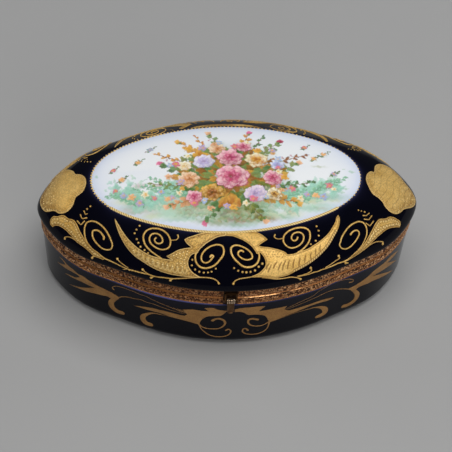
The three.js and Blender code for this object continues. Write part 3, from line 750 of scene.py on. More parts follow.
    ]),
    "hatch0_R": ("groove", [
        (-82.3, .1582, 0.34), (-83.0, .1369, 0.5), (-83.4, .1153, 0.42),
    ]),
    "hatch1_R": ("groove", [
        (-82.0, .1407, 0.34), (-82.6, .1178, 0.5), (-83.1, .0953, 0.42),
    ]),
    "hatch2_R": ("groove", [
        (-80.3, .1584, 0.34), (-81.2, .1364, 0.5), (-81.8, .1143, 0.42),
    ]),
    "hatch3_R": ("groove", [
        (-79.3, .1480, 0.34), (-80.2, .1222, 0.5), (-80.8, .0965, 0.42),
    ]),
    "hatch4_R": ("groove", [
        (-78.1, .1565, 0.34), (-79.2, .1235, 0.5), (-79.9, .0912, 0.42),
    ]),
    "hatch5_R": ("groove", [
        (-77.1, .1531, 0.34), (-78.0, .1231, 0.5), (-78.6, .0938, 0.42),
    ]),
    "hatch6_R": ("groove", [
        (-75.8, .1497, 0.34), (-76.7, .1192, 0.5), (-77.3, .0888, 0.42),
    ]),
    "hatch7_R": ("groove", [
        (-74.2, .1477, 0.34), (-75.1, .1186, 0.5), (-75.7, .0895, 0.42),
    ]),
    "hatch8_R": ("groove", [
        (-72.1, .1602, 0.34), (-73.0, .1344, 0.5), (-73.7, .1080, 0.42),
    ]),
    "hatch9_R": ("groove", [
        (-70.0, .1684, 0.34), (-71.0, .1417, 0.5), (-71.6, .1137, 0.42),
    ]),
    "hatch10_R": ("groove", [
        (-67.9, .1815, 0.34), (-68.8, .1565, 0.5), (-69.5, .1306, 0.42),
    ]),
    "hatch11_R": ("groove", [
        (-65.3, .2020, 0.34), (-66.4, .1772, 0.5), (-67.2, .1512, 0.42),
    ]),
    "beads_L": ("pearls", [
        (-107.0, .1968, 0.46), (-105.8, .1954, 0.46), (-105.3, .2104, 0.46), (-104.4, .1879, 0.46),
        (-104.6, .2249, 0.46), (-103.5, .1830, 0.46), (-103.5, .2108, 0.46), (-103.9, .2427, 0.46),
        (-102.5, .1996, 0.46), (-102.5, .1783, 0.46), (-103.0, .2572, 0.46), (-102.7, .2302, 0.46),
        (-103.6, .1391, 0.46), (-102.8, .1439, 0.46), (-101.9, .1507, 0.46), (-104.3, .1092, 0.46),
        (-103.1, .1127, 0.46), (-102.0, .1223, 0.46), (-110.1, .1078, 0.46), (-108.6, .1089, 0.46),
        (-107.0, .1070, 0.46), (-105.7, .1085, 0.46), (-112.2, .1153, 0.46), (-115.3, .1322, 0.46),
        (-118.9, .1484, 0.46),
    ]),
    "pits_L": ("pits", [
        (-103.3, .4411), (-105.2, .3937), (-104.2, .4087), (-103.1, .4128), (-105.1, .3699), (-104.0, .3649),
        (-103.1, .3772), (-103.7, .3348),
    ]),
    "pits_R": ("pits", [
        (-82.0, .2702, 0.4), (-81.4, .2595, 0.4), (-80.8, .2563, 0.4), (-79.9, .2533, 0.4),
        (-79.2, .2533, 0.4), (-78.5, .2403, 0.4), (-82.1, .2384, 0.4), (-81.5, .2349, 0.4),
        (-80.6, .2296, 0.4), (-80.0, .2252, 0.4), (-79.2, .2249, 0.4), (-78.4, .2143, 0.4),
        (-77.7, .2098, 0.4), (-82.8, .2225, 0.4), (-82.1, .2195, 0.4), (-81.3, .2079, 0.4),
        (-80.6, .2117, 0.4), (-79.7, .2019, 0.4), (-79.1, .2012, 0.4), (-78.4, .1905, 0.4),
        (-77.7, .1888, 0.4),
    ]),
    "pits3_R": ("pits", [
        (-87.7, .4683, 0.34), (-90.2, .4338, 0.34), (-88.8, .4294, 0.34), (-87.2, .4337, 0.34),
        (-85.7, .4324, 0.34), (-84.2, .4176, 0.34), (-82.4, .4181, 0.34), (-86.7, .3832, 0.34),
        (-85.4, .3813, 0.34), (-84.0, .3805, 0.34), (-82.4, .3726, 0.34), (-85.0, .3366, 0.34),
        (-83.8, .3359, 0.34),
    ]),
    "lid_bud_balls": ("dots", [
        (-122.1, .0509, 1.0), (-117.6, .0024, 0.85), (-111.3, .0369, 0.95), (-108.0, .0077, 1.0),
        (-103.3, .0178, 1.0), (-133.9, .0078, 0.95), (-149.9, .0259, 0.9), (-62.5, .0669, 1.0),
        (-73.1, .0556, 1.0), (-76.6, .0094, 0.95), (-61.5, .0078, 0.9), (-60.6, .0050, 0.85),
        (-39.0, .0197, 0.9), (-93.3, .0346, 0.9), (-90.5, .0339, 0.95),
    ]),
    "vine_knots_L": ("dots", [
        (-115.2, .0120, 0.75), (-114.2, .0139, 0.72), (-113.1, .0153, 0.7), (-112.1, .0155, 0.7),
        (-111.1, .0174, 0.66), (-110.1, .0178, 0.64),
    ]),
    "pits2_R": ("pits", [
        (-52.8, .3047, 0.3), (-54.3, .2894, 0.3), (-57.6, .2708, 0.3), (-56.4, .2673, 0.3),
        (-58.9, .2597, 0.3), (-57.8, .2479, 0.3), (-60.7, .2316, 0.3), (-59.6, .2290, 0.3),
        (-62.2, .2157, 0.3), (-61.0, .2098, 0.3),
    ]),
    "pearls_fans": ("pearls", [
        (-42.9, .0977, 0.54), (-41.4, .1109, 0.54), (-39.7, .1204, 0.54), (-37.9, .1267, 0.54),
        (-36.3, .1282, 0.54), (-34.7, .1247, 0.54), (-33.3, .1175, 0.54), (-31.8, .1089, 0.54),
        (-30.4, .0958, 0.54), (-28.9, .0818, 0.54), (-27.4, .0666, 0.54), (-26.7, .0434, 0.54),
        (-158.9, .0585, 0.48), (-157.4, .0738, 0.48), (-155.7, .1173, 0.48), (-152.8, .1089, 0.48),
        (-149.5, .0909, 0.48), (-155.2, .0915, 0.48), (-146.6, .0789, 0.48),
    ]),
    "cart_pearls_L": ("pearls", [
        (162.1, .1054, 0.36), (164.8, .1058, 0.36), (167.6, .1018, 0.36), (170.8, .1016, 0.36),
        (173.7, .0958, 0.36), (176.6, .0851, 0.36), (178.9, .0744, 0.36), (-178.6, .0628, 0.36),
        (-174.8, .0561, 0.36), (-171.3, .0562, 0.36), (-168.1, .0653, 0.36), (-166.4, .0878, 0.36),
        (165.5, .1458, 0.36), (172.5, .1382, 0.36), (179.4, .1146, 0.36), (-174.1, .0822, 0.36),
    ]),
    "cart_pearls_R": ("pearls", [
        (7.5, .1248, 0.36), (4.9, .1091, 0.36), (2.0, .0910, 0.36), (-0.7, .0695, 0.36), (-3.1, .0464, 0.36),
        (-5.6, .0362, 0.36), (-9.5, .0406, 0.36), (-12.1, .0593, 0.36), (-0.2, .1049, 0.36),
        (-4.4, .0821, 0.36), (-7.6, .0577, 0.36), (7.6, .1467, 0.36), (-27.5, .3208, 0.36),
        (5.3, .4042, 0.36), (4.7, .4288, 0.36), (-19.5, .1338, 0.36), (-19.7, .2197, 0.36),
    ]),
}
BASE_ORNAMENT = {
    "branch_L": ("poly", [
        (-155.5, 44.1), (-152.2, 44.7), (-150.1, 42.9), (-146.3, 42.4), (-143.7, 40.8), (-141.4, 41.6),
        (-138.1, 40.2), (-134.2, 38.2), (-130.1, 37.1), (-126.1, 35.8), (-123.0, 34.6), (-120.2, 32.7),
        (-121.6, 28.7), (-123.2, 24.8), (-124.6, 27.0), (-126.2, 28.6), (-129.1, 28.0), (-133.9, 26.8),
        (-138.1, 25.1), (-142.8, 23.3), (-147.0, 21.1), (-151.0, 18.3), (-146.3, 22.6), (-142.7, 25.8),
        (-138.5, 29.8), (-134.2, 34.0), (-137.7, 33.6), (-141.1, 33.6), (-144.8, 32.4), (-148.7, 30.7),
        (-152.6, 28.7), (-148.6, 32.2), (-145.7, 34.0), (-142.5, 38.3), (-144.1, 39.2), (-146.8, 38.6),
        (-150.1, 37.1), (-153.6, 35.6), (-157.5, 34.2), (-154.3, 37.1), (-151.0, 41.2), (-152.7, 43.2),
    ]),
    "commaA_L": ("stroke", [
        (-121.0, 31.4, 1.1), (-123.0, 27.9, 1.9), (-124.8, 22.9, 2.4), (-124.6, 18.3, 2.55),
        (-123.1, 15.2, 2.5), (-121.0, 13.9, 2.35), (-119.2, 14.3, 2.2),
    ]),
    "lineA_L": ("stroke", [
        (-121.0, 31.4, 0.6), (-119.5, 34.0, 0.5), (-116.4, 36.8, 0.45), (-114.0, 37.6, 0.4),
        (-111.0, 39.0, 0.35), (-110.3, 38.5, 0.33), (-107.7, 38.4, 0.3), (-105.8, 37.5, 0.3),
        (-103.9, 36.5, 0.3), (-101.8, 35.5, 0.25), (-99.8, 34.7, 0.2),
    ]),
    "lineB_L": ("stroke", [
        (-122.9, 39.8, 0.5), (-123.7, 41.6, 0.45), (-122.6, 44.3, 0.4), (-120.4, 45.9, 0.38),
        (-117.9, 46.4, 0.35), (-114.4, 46.2, 0.33), (-111.0, 45.2, 0.3), (-110.2, 45.3, 0.3),
        (-107.7, 43.4, 0.3), (-105.3, 41.3, 0.3), (-103.2, 39.4, 0.3), (-101.2, 38.0, 0.25),
        (-99.3, 36.5, 0.2),
    ]),
    "commaB_L": ("stroke", [
        (-105.8, 28.0, 0.35), (-107.7, 26.9, 0.85), (-109.6, 23.2, 1.5), (-110.8, 19.1, 2.2),
        (-110.8, 14.6, 2.5), (-109.8, 11.7, 2.5), (-108.5, 11.4, 2.3),
    ]),
    "lineC_L": ("stroke", [
        (-106.4, 27.4, 0.35), (-103.9, 28.0, 0.3), (-101.8, 27.4, 0.3), (-99.2, 26.2, 0.3),
        (-96.9, 23.9, 0.3),
    ]),
    "leaf_L": ("poly", [
        (-114.2, 28.8), (-111.3, 30.9), (-108.5, 32.7), (-106.1, 33.3), (-103.2, 33.0), (-101.1, 32.3),
        (-99.9, 32.1), (-99.3, 34.4), (-100.3, 39.4), (-98.1, 41.4), (-96.3, 41.0), (-94.9, 41.1),
        (-95.8, 44.7), (-94.0, 45.4), (-93.0, 43.5), (-91.2, 42.5), (-91.8, 39.0), (-92.4, 36.4),
        (-93.8, 35.6), (-95.1, 34.5), (-96.0, 31.3), (-96.5, 27.3), (-96.6, 22.6), (-96.9, 23.6),
        (-98.5, 25.6), (-100.5, 26.8), (-103.2, 28.1), (-105.2, 29.2), (-107.7, 29.3), (-110.3, 29.0),
        (-112.2, 29.1),
    ]),
    "hatch1_L": ("stroke", [
        (-102.4, 39.3, 0.28), (-100.5, 36.1, 0.22),
    ]),
    "hatch2_L": ("stroke", [
        (-101.5, 39.7, 0.28), (-100.0, 35.8, 0.22),
    ]),
    "hatch3_L": ("stroke", [
        (-101.0, 39.7, 0.28), (-99.6, 35.5, 0.22),
    ]),
    "hatch4_L": ("stroke", [
        (-100.3, 39.5, 0.28), (-99.3, 35.1, 0.22),
    ]),
    "cscroll_L": ("stroke", [
        (-96.7, 23.5, 0.9), (-96.2, 21.5, 0.6), (-95.5, 20.0, 0.55), (-94.1, 19.4, 0.6), (-92.8, 20.1, 0.65),
        (-91.8, 23.4, 0.8), (-91.5, 27.8, 1.0), (-92.0, 31.2, 1.1), (-92.8, 32.5, 1.1), (-93.6, 31.6, 1.1),
        (-94.0, 29.9, 1.3),
    ]),
    "sscroll_L": ("stroke", [
        (-96.6, 23.2, 0.8), (-96.3, 19.1, 0.6), (-95.5, 14.8, 0.55), (-94.5, 11.4, 0.55), (-93.3, 9.7, 0.6),
        (-92.1, 9.7, 0.6), (-90.9, 11.3, 0.65), (-90.3, 14.7, 0.7), (-90.3, 17.7, 0.7), (-90.8, 19.4, 0.7),
        (-91.2, 18.1, 0.9),
    ]),
    "comb2_L": ("stroke", [
        (-104.3, 29.5, 0.2), (-101.8, 29.1, 0.24), (-99.2, 27.8, 0.24), (-97.0, 25.4, 0.22),
    ]),
    "comb3_L": ("stroke", [
        (-102.3, 30.3, 0.2), (-100.5, 29.9, 0.24), (-98.5, 28.5, 0.24), (-97.1, 26.9, 0.2),
    ]),
    "comb2_R": ("stroke", [
        (-81.9, 25.5, 0.22), (-80.1, 27.4, 0.24), (-78.1, 29.0, 0.24), (-75.8, 29.8, 0.2),
    ]),
    "comb3_R": ("stroke", [
        (-81.5, 26.9, 0.22), (-80.1, 28.6, 0.24), (-78.4, 30.0, 0.22), (-77.0, 30.7, 0.2),
    ]),
    "leaf_R": ("poly", [
        (-89.8, 40.8), (-89.8, 43.9), (-88.8, 45.2), (-87.1, 45.5), (-85.3, 45.6), (-83.7, 45.1),
        (-84.3, 42.4), (-85.0, 39.6), (-83.5, 39.7), (-81.7, 40.0), (-80.4, 40.0), (-78.8, 40.0),
        (-79.4, 36.6), (-78.2, 33.9), (-76.0, 33.8), (-73.7, 33.9), (-71.1, 33.9), (-68.0, 33.4),
        (-63.3, 30.7), (-65.1, 29.7), (-69.0, 31.0), (-71.9, 31.4), (-74.4, 30.6), (-76.7, 29.4),
        (-78.8, 27.8), (-80.7, 25.7), (-82.2, 23.7), (-82.8, 26.8), (-83.1, 30.0), (-83.6, 32.9),
        (-84.5, 34.8), (-85.8, 36.0), (-87.1, 36.5), (-88.0, 39.7), (-88.8, 41.0),
    ]),
    "cscroll_R": ("stroke", [
        (-82.5, 24.7, 0.9), (-83.0, 23.2, 0.6), (-83.4, 22.1, 0.55), (-84.3, 20.9, 0.6), (-85.4, 21.4, 0.65),
        (-86.4, 23.4, 0.75), (-86.9, 26.9, 0.9), (-86.8, 30.2, 1.0), (-86.2, 31.0, 1.05), (-85.6, 30.3, 1.1),
        (-85.0, 29.1, 1.2),
    ]),
    "sscroll_R": ("stroke", [
        (-82.4, 24.3, 0.8), (-82.5, 21.4, 0.7), (-82.7, 17.1, 0.6), (-83.2, 14.0, 0.6), (-84.2, 11.6, 0.6),
        (-85.3, 10.9, 0.6), (-86.5, 11.6, 0.6), (-87.5, 13.6, 0.65), (-87.9, 16.4, 0.7), (-87.7, 19.1, 0.7),
        (-87.3, 19.2, 0.75), (-86.8, 16.9, 0.95),
    ]),
    "commaB_R": ("stroke", [
        (-71.7, 28.1, 0.4), (-69.9, 26.4, 0.95), (-67.9, 23.2, 1.8), (-66.5, 18.6, 2.6), (-66.4, 15.3, 2.7),
        (-67.6, 13.6, 2.4), (-69.2, 13.5, 1.9),
    ]),
    "lineC_R": ("stroke", [
        (-82.0, 24.2, 0.3), (-80.1, 26.1, 0.3), (-78.0, 27.8, 0.3), (-75.9, 28.6, 0.3), (-73.5, 28.2, 0.33),
        (-71.1, 27.5, 0.45),
    ]),
    "commaA_R": ("stroke", [
        (-53.5, 30.4, 1.1), (-50.8, 26.0, 1.8), (-49.0, 20.6, 2.3), (-49.3, 15.8, 2.4), (-51.2, 12.9, 2.3),
        (-54.0, 11.8, 2.2), (-57.0, 12.6, 2.0),
    ]),
    "branch_R": ("poly", [
        (-56.3, 33.8), (-52.8, 34.1), (-50.0, 35.4), (-46.4, 37.0), (-43.7, 39.0), (-41.0, 41.6),
        (-37.5, 42.9), (-33.6, 43.1), (-29.7, 44.2), (-21.5, 38.3), (-26.9, 38.6), (-31.3, 39.4),
        (-26.4, 32.6), (-20.0, 23.9), (-26.3, 29.5), (-31.4, 32.7), (-35.7, 34.8), (-40.7, 35.9),
        (-35.1, 31.1), (-29.1, 24.0), (-22.4, 15.1), (-28.7, 20.8), (-34.4, 25.3), (-39.8, 28.7),
        (-43.7, 29.4), (-47.5, 30.2), (-50.0, 29.4), (-51.1, 27.0), (-53.4, 29.6),
    ]),
    "lineB_R": ("stroke", [
        (-56.1, 41.7, 0.7), (-54.1, 41.0, 0.65), (-53.9, 42.5, 0.5), (-55.6, 45.2, 0.45), (-58.3, 47.4, 0.4),
        (-61.5, 49.1, 0.36), (-64.2, 49.9, 0.33), (-66.6, 49.4, 0.3), (-68.7, 48.1, 0.3), (-70.5, 46.4, 0.3),
        (-71.5, 44.1, 0.3), (-74.8, 41.5, 0.3), (-77.7, 38.6, 0.28), (-79.3, 36.4, 0.22),
    ]),
    "lineA_R": ("stroke", [
        (-54.3, 31.3, 0.6), (-57.0, 34.4, 0.5), (-62.1, 39.1, 0.42), (-64.8, 41.0, 0.38),
        (-67.9, 41.4, 0.35), (-70.2, 40.4, 0.33), (-71.3, 39.9, 0.3), (-74.7, 38.5, 0.3),
        (-76.9, 37.1, 0.28), (-78.7, 35.8, 0.22),
    ]),
}


# ================================================================ materials
def material(name, metallic=0.0, roughness=0.5, ior=None, specular=None, coat=None):
    m = bpy.data.materials.new(name)
    m.use_nodes = True
    b = m.node_tree.nodes["Principled BSDF"]
    b.inputs["Metallic"].default_value = metallic
    b.inputs["Roughness"].default_value = roughness
    if ior is not None:
        b.inputs["IOR"].default_value = ior
    if specular is not None:
        b.inputs["Specular IOR Level"].default_value = specular
    if coat is not None:
        b.inputs["Coat Weight"].default_value = coat[0]
        b.inputs["Coat Roughness"].default_value = coat[1]
    return m, m.node_tree, b


def node(nt, kind, inputs=None, **props):
    n = nt.nodes.new(kind)
    for k, v in props.items():
        setattr(n, k, v)
    for k, v in (inputs or {}).items():
        if isinstance(v, bpy.types.NodeSocket):
            nt.links.new(v, n.inputs[k])
        else:
            n.inputs[k].default_value = v
    return n


def coords(nt, scale=(1, 1, 1)):
    c = node(nt, "ShaderNodeTexCoord")
    return node(nt, "ShaderNodeMapping", {"Vector": c.outputs["Object"], "Scale": scale}).outputs["Vector"]


def noise(nt, scale, detail=3.0, rough=0.5, vec=None):
    n = node(nt, "ShaderNodeTexNoise", {"Scale": scale, "Detail": detail, "Roughness": rough})
    nt.links.new(vec if vec is not None else coords(nt), n.inputs["Vector"])
    return n.outputs["Fac"]


def cells(nt, scale, feature="F1", vec=None):
    n = node(nt, "ShaderNodeTexVoronoi", {"Scale": scale}, feature=feature)
    nt.links.new(vec if vec is not None else coords(nt), n.inputs["Vector"])
    return n.outputs["Distance"]


def ramp(nt, fac, stops):
    n = nt.nodes.new("ShaderNodeValToRGB")
    nt.links.new(fac, n.inputs["Fac"])
    e = n.color_ramp.elements
    while len(e) < len(stops):
        e.new(0.5)
    for el, (p, c) in zip(e, stops):
        el.position = p
        el.color = tuple(c) + (1,) if isinstance(c, (tuple, list)) else (c, c, c, 1)
    return n.outputs["Color"]


def blend(nt, fac, a, b, mode="MIX"):
    n = nt.nodes.new("ShaderNodeMix")
    n.data_type, n.blend_type = "RGBA", mode
    for k, v in ((0, fac), (6, a), (7, b)):
        if isinstance(v, bpy.types.NodeSocket):
            nt.links.new(v, n.inputs[k])
        elif k == 0:
            n.inputs[k].default_value = v
        else:
            n.inputs[k].default_value = tuple(v) + (1,)
    return n.outputs[2]


def math_(nt, op, a, b=0.0, clamp=False):
    n = nt.nodes.new("ShaderNodeMath")
    n.operation, n.use_clamp = op, clamp
    for k, v in enumerate((a, b)):
        if isinstance(v, bpy.types.NodeSocket):
            nt.links.new(v, n.inputs[k])
        else:
            n.inputs[k].default_value = v
    return n.outputs[0]


def attribute(nt, name, channel=None):
    a = nt.nodes.new("ShaderNodeVertexColor")
    a.layer_name = name
    if channel is None:
        return a.outputs["Color"]
    s = nt.nodes.new("ShaderNodeSeparateColor")
    nt.links.new(a.outputs["Color"], s.inputs["Color"])
    return s.outputs[channel]


def bump(nt, bsdf, height, strength, distance, after=None):
    n = node(nt, "ShaderNodeBump", {"Strength": strength, "Distance": distance, "Height": height})
    if after is not None:
        nt.links.new(after, n.inputs["Normal"])
    nt.links.new(n.outputs["Normal"], bsdf.inputs["Normal"])
    return n.outputs["Normal"]


# dark cobalt glaze; its blue-tint attribute is 1 where the glaze runs thin and shows blue, and along the base's rolled
# top edge it also carries a painted highlight
m_cobalt, nt, b = material("cobalt_glaze", roughness=0.09, ior=1.32, specular=0.22)
soft = noise(nt, 26, 4, 0.55)
deep = blend(nt, soft, (0.0012, 0.0012, 0.0032), (0.0022, 0.0022, 0.0062))
thin = blend(nt, attribute(nt, "thin_glaze_and_highlight", 0), deep, (0.140, 0.150, 0.430))
specks = ramp(nt, cells(nt, 420), [(0.0, 1.0), (0.055, 0.0)])
nt.links.new(blend(nt, math_(nt, "MULTIPLY", specks, 0.05), thin, (0.03, 0.03, 0.06)), b.inputs["Base Color"])
nt.links.new(math_(nt, "ADD", math_(nt, "MULTIPLY", noise(nt, 60, 3, 0.6), 0.09), 0.055), b.inputs["Roughness"])
bump(nt, b, noise(nt, 48, 2, 0.45), 0.10, 0.0006)

# clear white glaze of the inside and the underside
m_white, nt, b = material("white_glaze", roughness=0.13, ior=1.5)
w = blend(nt, noise(nt, 18, 4, 0.6), (0.74, 0.76, 0.765), (0.82, 0.83, 0.815))
pin = ramp(nt, cells(nt, 160), [(0.0, 1.0), (0.045, 0.0)])
nt.links.new(blend(nt, math_(nt, "MULTIPLY", pin, 0.55), w, (0.30, 0.26, 0.21)), b.inputs["Base Color"])
nt.links.new(math_(nt, "ADD", math_(nt, "MULTIPLY", noise(nt, 70, 3, 0.6), 0.10), 0.08), b.inputs["Roughness"])
bump(nt, b, noise(nt, 55, 2, 0.45), 0.10, 0.0006)

# bare fired porcelain of the foot ring and the hidden edges
m_bisque, nt, b = material("bare_porcelain", roughness=0.8)
w = blend(nt, noise(nt, 40, 5, 0.6), (0.62, 0.59, 0.53), (0.72, 0.70, 0.65))
grit = ramp(nt, noise(nt, 900, 2, 0.5), [(0.35, 0.0), (0.7, 1.0)])
nt.links.new(blend(nt, math_(nt, "MULTIPLY", grit, 0.25), w, (0.42, 0.38, 0.32)), b.inputs["Base Color"])
bump(nt, b, noise(nt, 1400, 3, 0.6), 0.35, 0.0002)

# the painted oval: colours are worked out point by point further down, under clear glaze
m_paint, nt, b = material("painted_enamel", roughness=0.12, ior=1.48, specular=0.4)
col = attribute(nt, "paint")
nt.links.new(blend(nt, math_(nt, "MULTIPLY", noise(nt, 340, 3, 0.6), 0.09), col, (1.0, 1.0, 1.0), "SOFT_LIGHT"), b.inputs["Base Color"])
nt.links.new(math_(nt, "ADD", math_(nt, "MULTIPLY", noise(nt, 90, 3, 0.6), 0.10), 0.07), b.inputs["Roughness"])
bump(nt, b, noise(nt, 60, 2, 0.5), 0.08, 0.0005)


def gilding(name, light, mid, dark, metallic, rough, grain, grain_depth):
    m, nt, b = material(name, metallic=metallic, roughness=rough)
    # tone 0 darkens the gold: its own tooled stipple, pits and burnishing strokes, and painted shade in grooves,
    # hollows, twists and along the edges; tone 1 mixes in a paler gold as painted highlight on beads, crests, ridges
    # and edges
    cut = attribute(nt, "tone", 0)
    painted_highlight = attribute(nt, "tone", 1)
    worn = ramp(nt, noise(nt, 120, 5, 0.65), [(0.30, 0.0), (0.72, 1.0)])
    base = blend(nt, worn, light, mid)
    fine = ramp(nt, noise(nt, 1050, 2, 0.6), [(0.42, 0.0), (0.62, 1.0)])
    base = blend(nt, math_(nt, "MULTIPLY", fine, 0.36), base, dark)
    base = blend(nt, cut, base, dark)
    base = blend(nt, painted_highlight, base, tuple(min(1.0, 1.12 * a + k) for a, k in zip(light, (0.10, 0.075, 0.14))))
    nt.links.new(base, b.inputs["Base Color"])
    r = math_(nt, "ADD", math_(nt, "MULTIPLY", noise(nt, 300, 3, 0.6), 0.18), rough - 0.09)
    nt.links.new(math_(nt, "ADD", r, math_(nt, "MULTIPLY", cut, 0.15)), b.inputs["Roughness"])
    first = bump(nt, b, noise(nt, grain, 2, 0.55), 0.5, grain_depth)
    bump(nt, b, cells(nt, grain * 0.42), 0.25, grain_depth, after=first)
    return m


m_gold = gilding("raised_gilding", (0.96, 0.645, 0.212), (0.74, 0.448, 0.108), (0.13, 0.045, 0.008), 0.50, 0.49, 1500, 0.00014)
m_flat = gilding("flat_gilding", (0.418, 0.219, 0.062), (0.293, 0.141, 0.036), (0.11, 0.043, 0.011), 0.40, 0.46, 1900, 0.00006)

# gilt brass of the rims: tone 0 is how deep a point lies in the engraving, and on the base's moulding also a painted
# dark stretch; tone 1 is where the high points are rubbed bright, together with painted highlights on that moulding
# beside the clasp and on the hasp's barrel; tone 2 mixes in a pale colour as painted glints
def brass(name, high, mid, low, metallic, rough, sparkle):
    m, nt, b = material(name, metallic=metallic, roughness=rough)
    cut, rub_and_highlight = attribute(nt, "tone", 0), attribute(nt, "tone", 1)
    cloud = ramp(nt, noise(nt, 70, 5, 0.65), [(0.30, 0.0), (0.70, 1.0)])
    base = blend(nt, cloud, mid, tuple(0.55 * a + 0.45 * c for a, c in zip(mid, low)))
    base = blend(nt, rub_and_highlight, base, high)
    base = blend(nt, cut, base, low)
    base = blend(nt, attribute(nt, "tone", 2), base, (1.0, 0.80, 0.58))
    tarnish = ramp(nt, noise(nt, 420, 4, 0.7), [(0.50, 0.0), (0.74, 1.0)])
    base = blend(nt, math_(nt, "MULTIPLY", tarnish, 0.45), base, low)
    nt.links.new(base, b.inputs["Base Color"])
    r = math_(nt, "ADD", math_(nt, "MULTIPLY", noise(nt, 500, 3, 0.6), 0.22), rough - 0.10)
    r = math_(nt, "ADD", r, math_(nt, "MULTIPLY", cut, 0.25))
    nt.links.new(math_(nt, "SUBTRACT", r, math_(nt, "MULTIPLY", rub_and_highlight, 0.16)), b.inputs["Roughness"])
    first = bump(nt, b, noise(nt, 1100, 3, 0.6), 0.55, 0.00012)
    bump(nt, b, cells(nt, 900), sparkle, 0.00016, after=first)
    return m


m_rim = brass("rim_brass", (1.0, 0.465, 0.138), (0.235, 0.066, 0.0125), (0.010, 0.0035, 0.0012), 0.60, 0.31, 0.75)
m_hasp = brass("hasp_brass", (1.0, 0.64, 0.36), (0.170, 0.073, 0.026), (0.020, 0.010, 0.004), 1.0, 0.36, 0.25)
m_smooth = brass("inner_brass", (0.80, 0.58, 0.34), (0.55, 0.330, 0.150), (0.22, 0.110, 0.050), 0.9, 0.36, 0.12)

m_steel, nt, b = material("pin_steel", metallic=1.0, roughness=0.35)
scr = noise(nt, 260, 4, 0.65, coords(nt, (0.25, 1, 1)))
nt.links.new(blend(nt, scr, (0.36, 0.33, 0.29), (0.60, 0.57, 0.52)), b.inputs["Base Color"])
nt.links.new(math_(nt, "ADD", math_(nt, "MULTIPLY", scr, 0.25), 0.22), b.inputs["Roughness"])
bump(nt, b, noise(nt, 900, 3, 0.6), 0.3, 0.0001)

m_plaster, nt, b = material("plaster", roughness=0.95)
w = blend(nt, noise(nt, 60, 5, 0.65), (0.52, 0.48, 0.40), (0.70, 0.66, 0.57))
nt.links.new(w, b.inputs["Base Color"])
bump(nt, b, noise(nt, 600, 4, 0.7), 0.6, 0.0004)

# ================================================================ porcelain
NC = 760  # columns round the porcelain
tc, _len = even_angles(NC, lambda t: lid(0.2, t))


def rows_by_length(f, lo, hi, step, t0=-np.pi / 2, t1=0.0):
    """Parameter values from lo to hi, about step apart along the surface."""
    d = np.linspace(lo, hi, 4001)
    s = max(([np.concatenate([[0], np.cumsum(np.linalg.norm(np.diff(f(d, np.full_like(d, t)), axis=0), axis=1))]) for t in (t0, t1)]), key=lambda a: a[-1])
    n = int(math.ceil(s[-1] / step))
    return np.interp(np.linspace(0, s[-1], n + 1), s, d)


def near_edge(p):
    """1 beside the painted oval, where the dark glaze runs thin, falling to 0."""
    out = -inside_border(p[..., 0], p[..., 1])
    wob = 0.7 + 0.3 * np.sin(np.arctan2(p[..., 1], p[..., 0]) * 17 + 1.3) * np.sin(np.arctan2(p[..., 1], p[..., 0]) * 5)
    return np.clip(0.045 * np.exp(-np.clip(out, 0, 60) / (2.6 * wob + 0.5)) + 0.12 * np.exp(-(np.clip(out, 0, 60) / (0.9 + 0.5 * wob)) ** 2), 0, 1)


# lid, from the middle of the top outward, over the edge, and back inside
u_out = rows_by_length(lid, 0.0, 0.985, 0.85)[::-1]
rows, kinds, thin_glaze_and_highlight_rows = [], [], []
for u in u_out:
    p = lid(u, tc) + lid_normal(max(u, 1e-5), tc) * SKIN
    rows.append(p); kinds.append(0); thin_glaze_and_highlight_rows.append(near_edge(p))
z_wide, z_low = LID_BAND_TOP + BULGE_HEIGHT, LID_BAND_TOP + GAP
for a in np.linspace(0, np.pi / 2, 12)[1:]:
    rows.append(at((BULGE + SKIN) * math.cos(a) ** 1.15, z_wide - (z_wide - z_low) * math.sin(a), tc))
    kinds.append(0); thin_glaze_and_highlight_rows.append(np.full(NC, 0.10 * (a / (np.pi / 2)) ** 4))
lid_edge = LID_BAND_BOTTOM + LEDGE + GAP + CEMENT + GAP
for off, z, k in ((WALL_OUT + 0.2, z_low, 2), (WALL_OUT, z_low - 0.2, 2), (WALL_OUT, lid_edge + 0.3, 2), (WALL_OUT - 0.3, lid_edge, 2),
                  (WALL_IN + 0.5, lid_edge, 2), (WALL_IN, lid_edge + 0.5, 2), (WALL_IN, lid_edge + 1.6, 1), (WALL_IN + 0.05, 66.5, 1), (WALL_IN + 0.3, 69.5, 1)):
    rows.append(at(off, z, tc)); kinds.append(k); thin_glaze_and_highlight_rows.append(np.zeros(NC))
for u in np.concatenate([np.linspace(0.075, 0.3, 12), np.linspace(0.32, 0.97, 26)]):
    rows.append(lid(u, tc) - lid_normal(u, tc) * LID_WALL); kinds.append(1); thin_glaze_and_highlight_rows.append(np.zeros(NC))
top = lid(0.9999, 0.0) + [0, 0, SKIN]
verts, faces, tag = loft(rows, first=[0, 0, top[2]], last=[0, 0, top[2] - LID_WALL])
kind_of = np.array(kinds)
idx = np.where(kind_of[np.minimum(tag + 1, len(rows) - 1)] == 0, 0, kind_of[np.minimum(tag + 1, len(rows) - 1)])
thin_glaze_and_highlight = np.concatenate(thin_glaze_and_highlight_rows + [np.zeros(2)])
make("lid_porcelain", verts, faces, "lid", [m_cobalt, m_white, m_bisque], replaces=["lid_dome"],
     index=idx, attrs={"thin_glaze_and_highlight": thin_glaze_and_highlight}, sharp=50)

# base: inside from the floor's middle outward, up the wall, over the rim, down the outside, under the foot
rim_top = BASE_BAND_TOP - LEDGE - GAP - CEMENT - GAP
wall_top = BAND_BOTTOM - GAP
tb, _lenb = even_angles(NC, lambda t: base_wall(30.0, t))


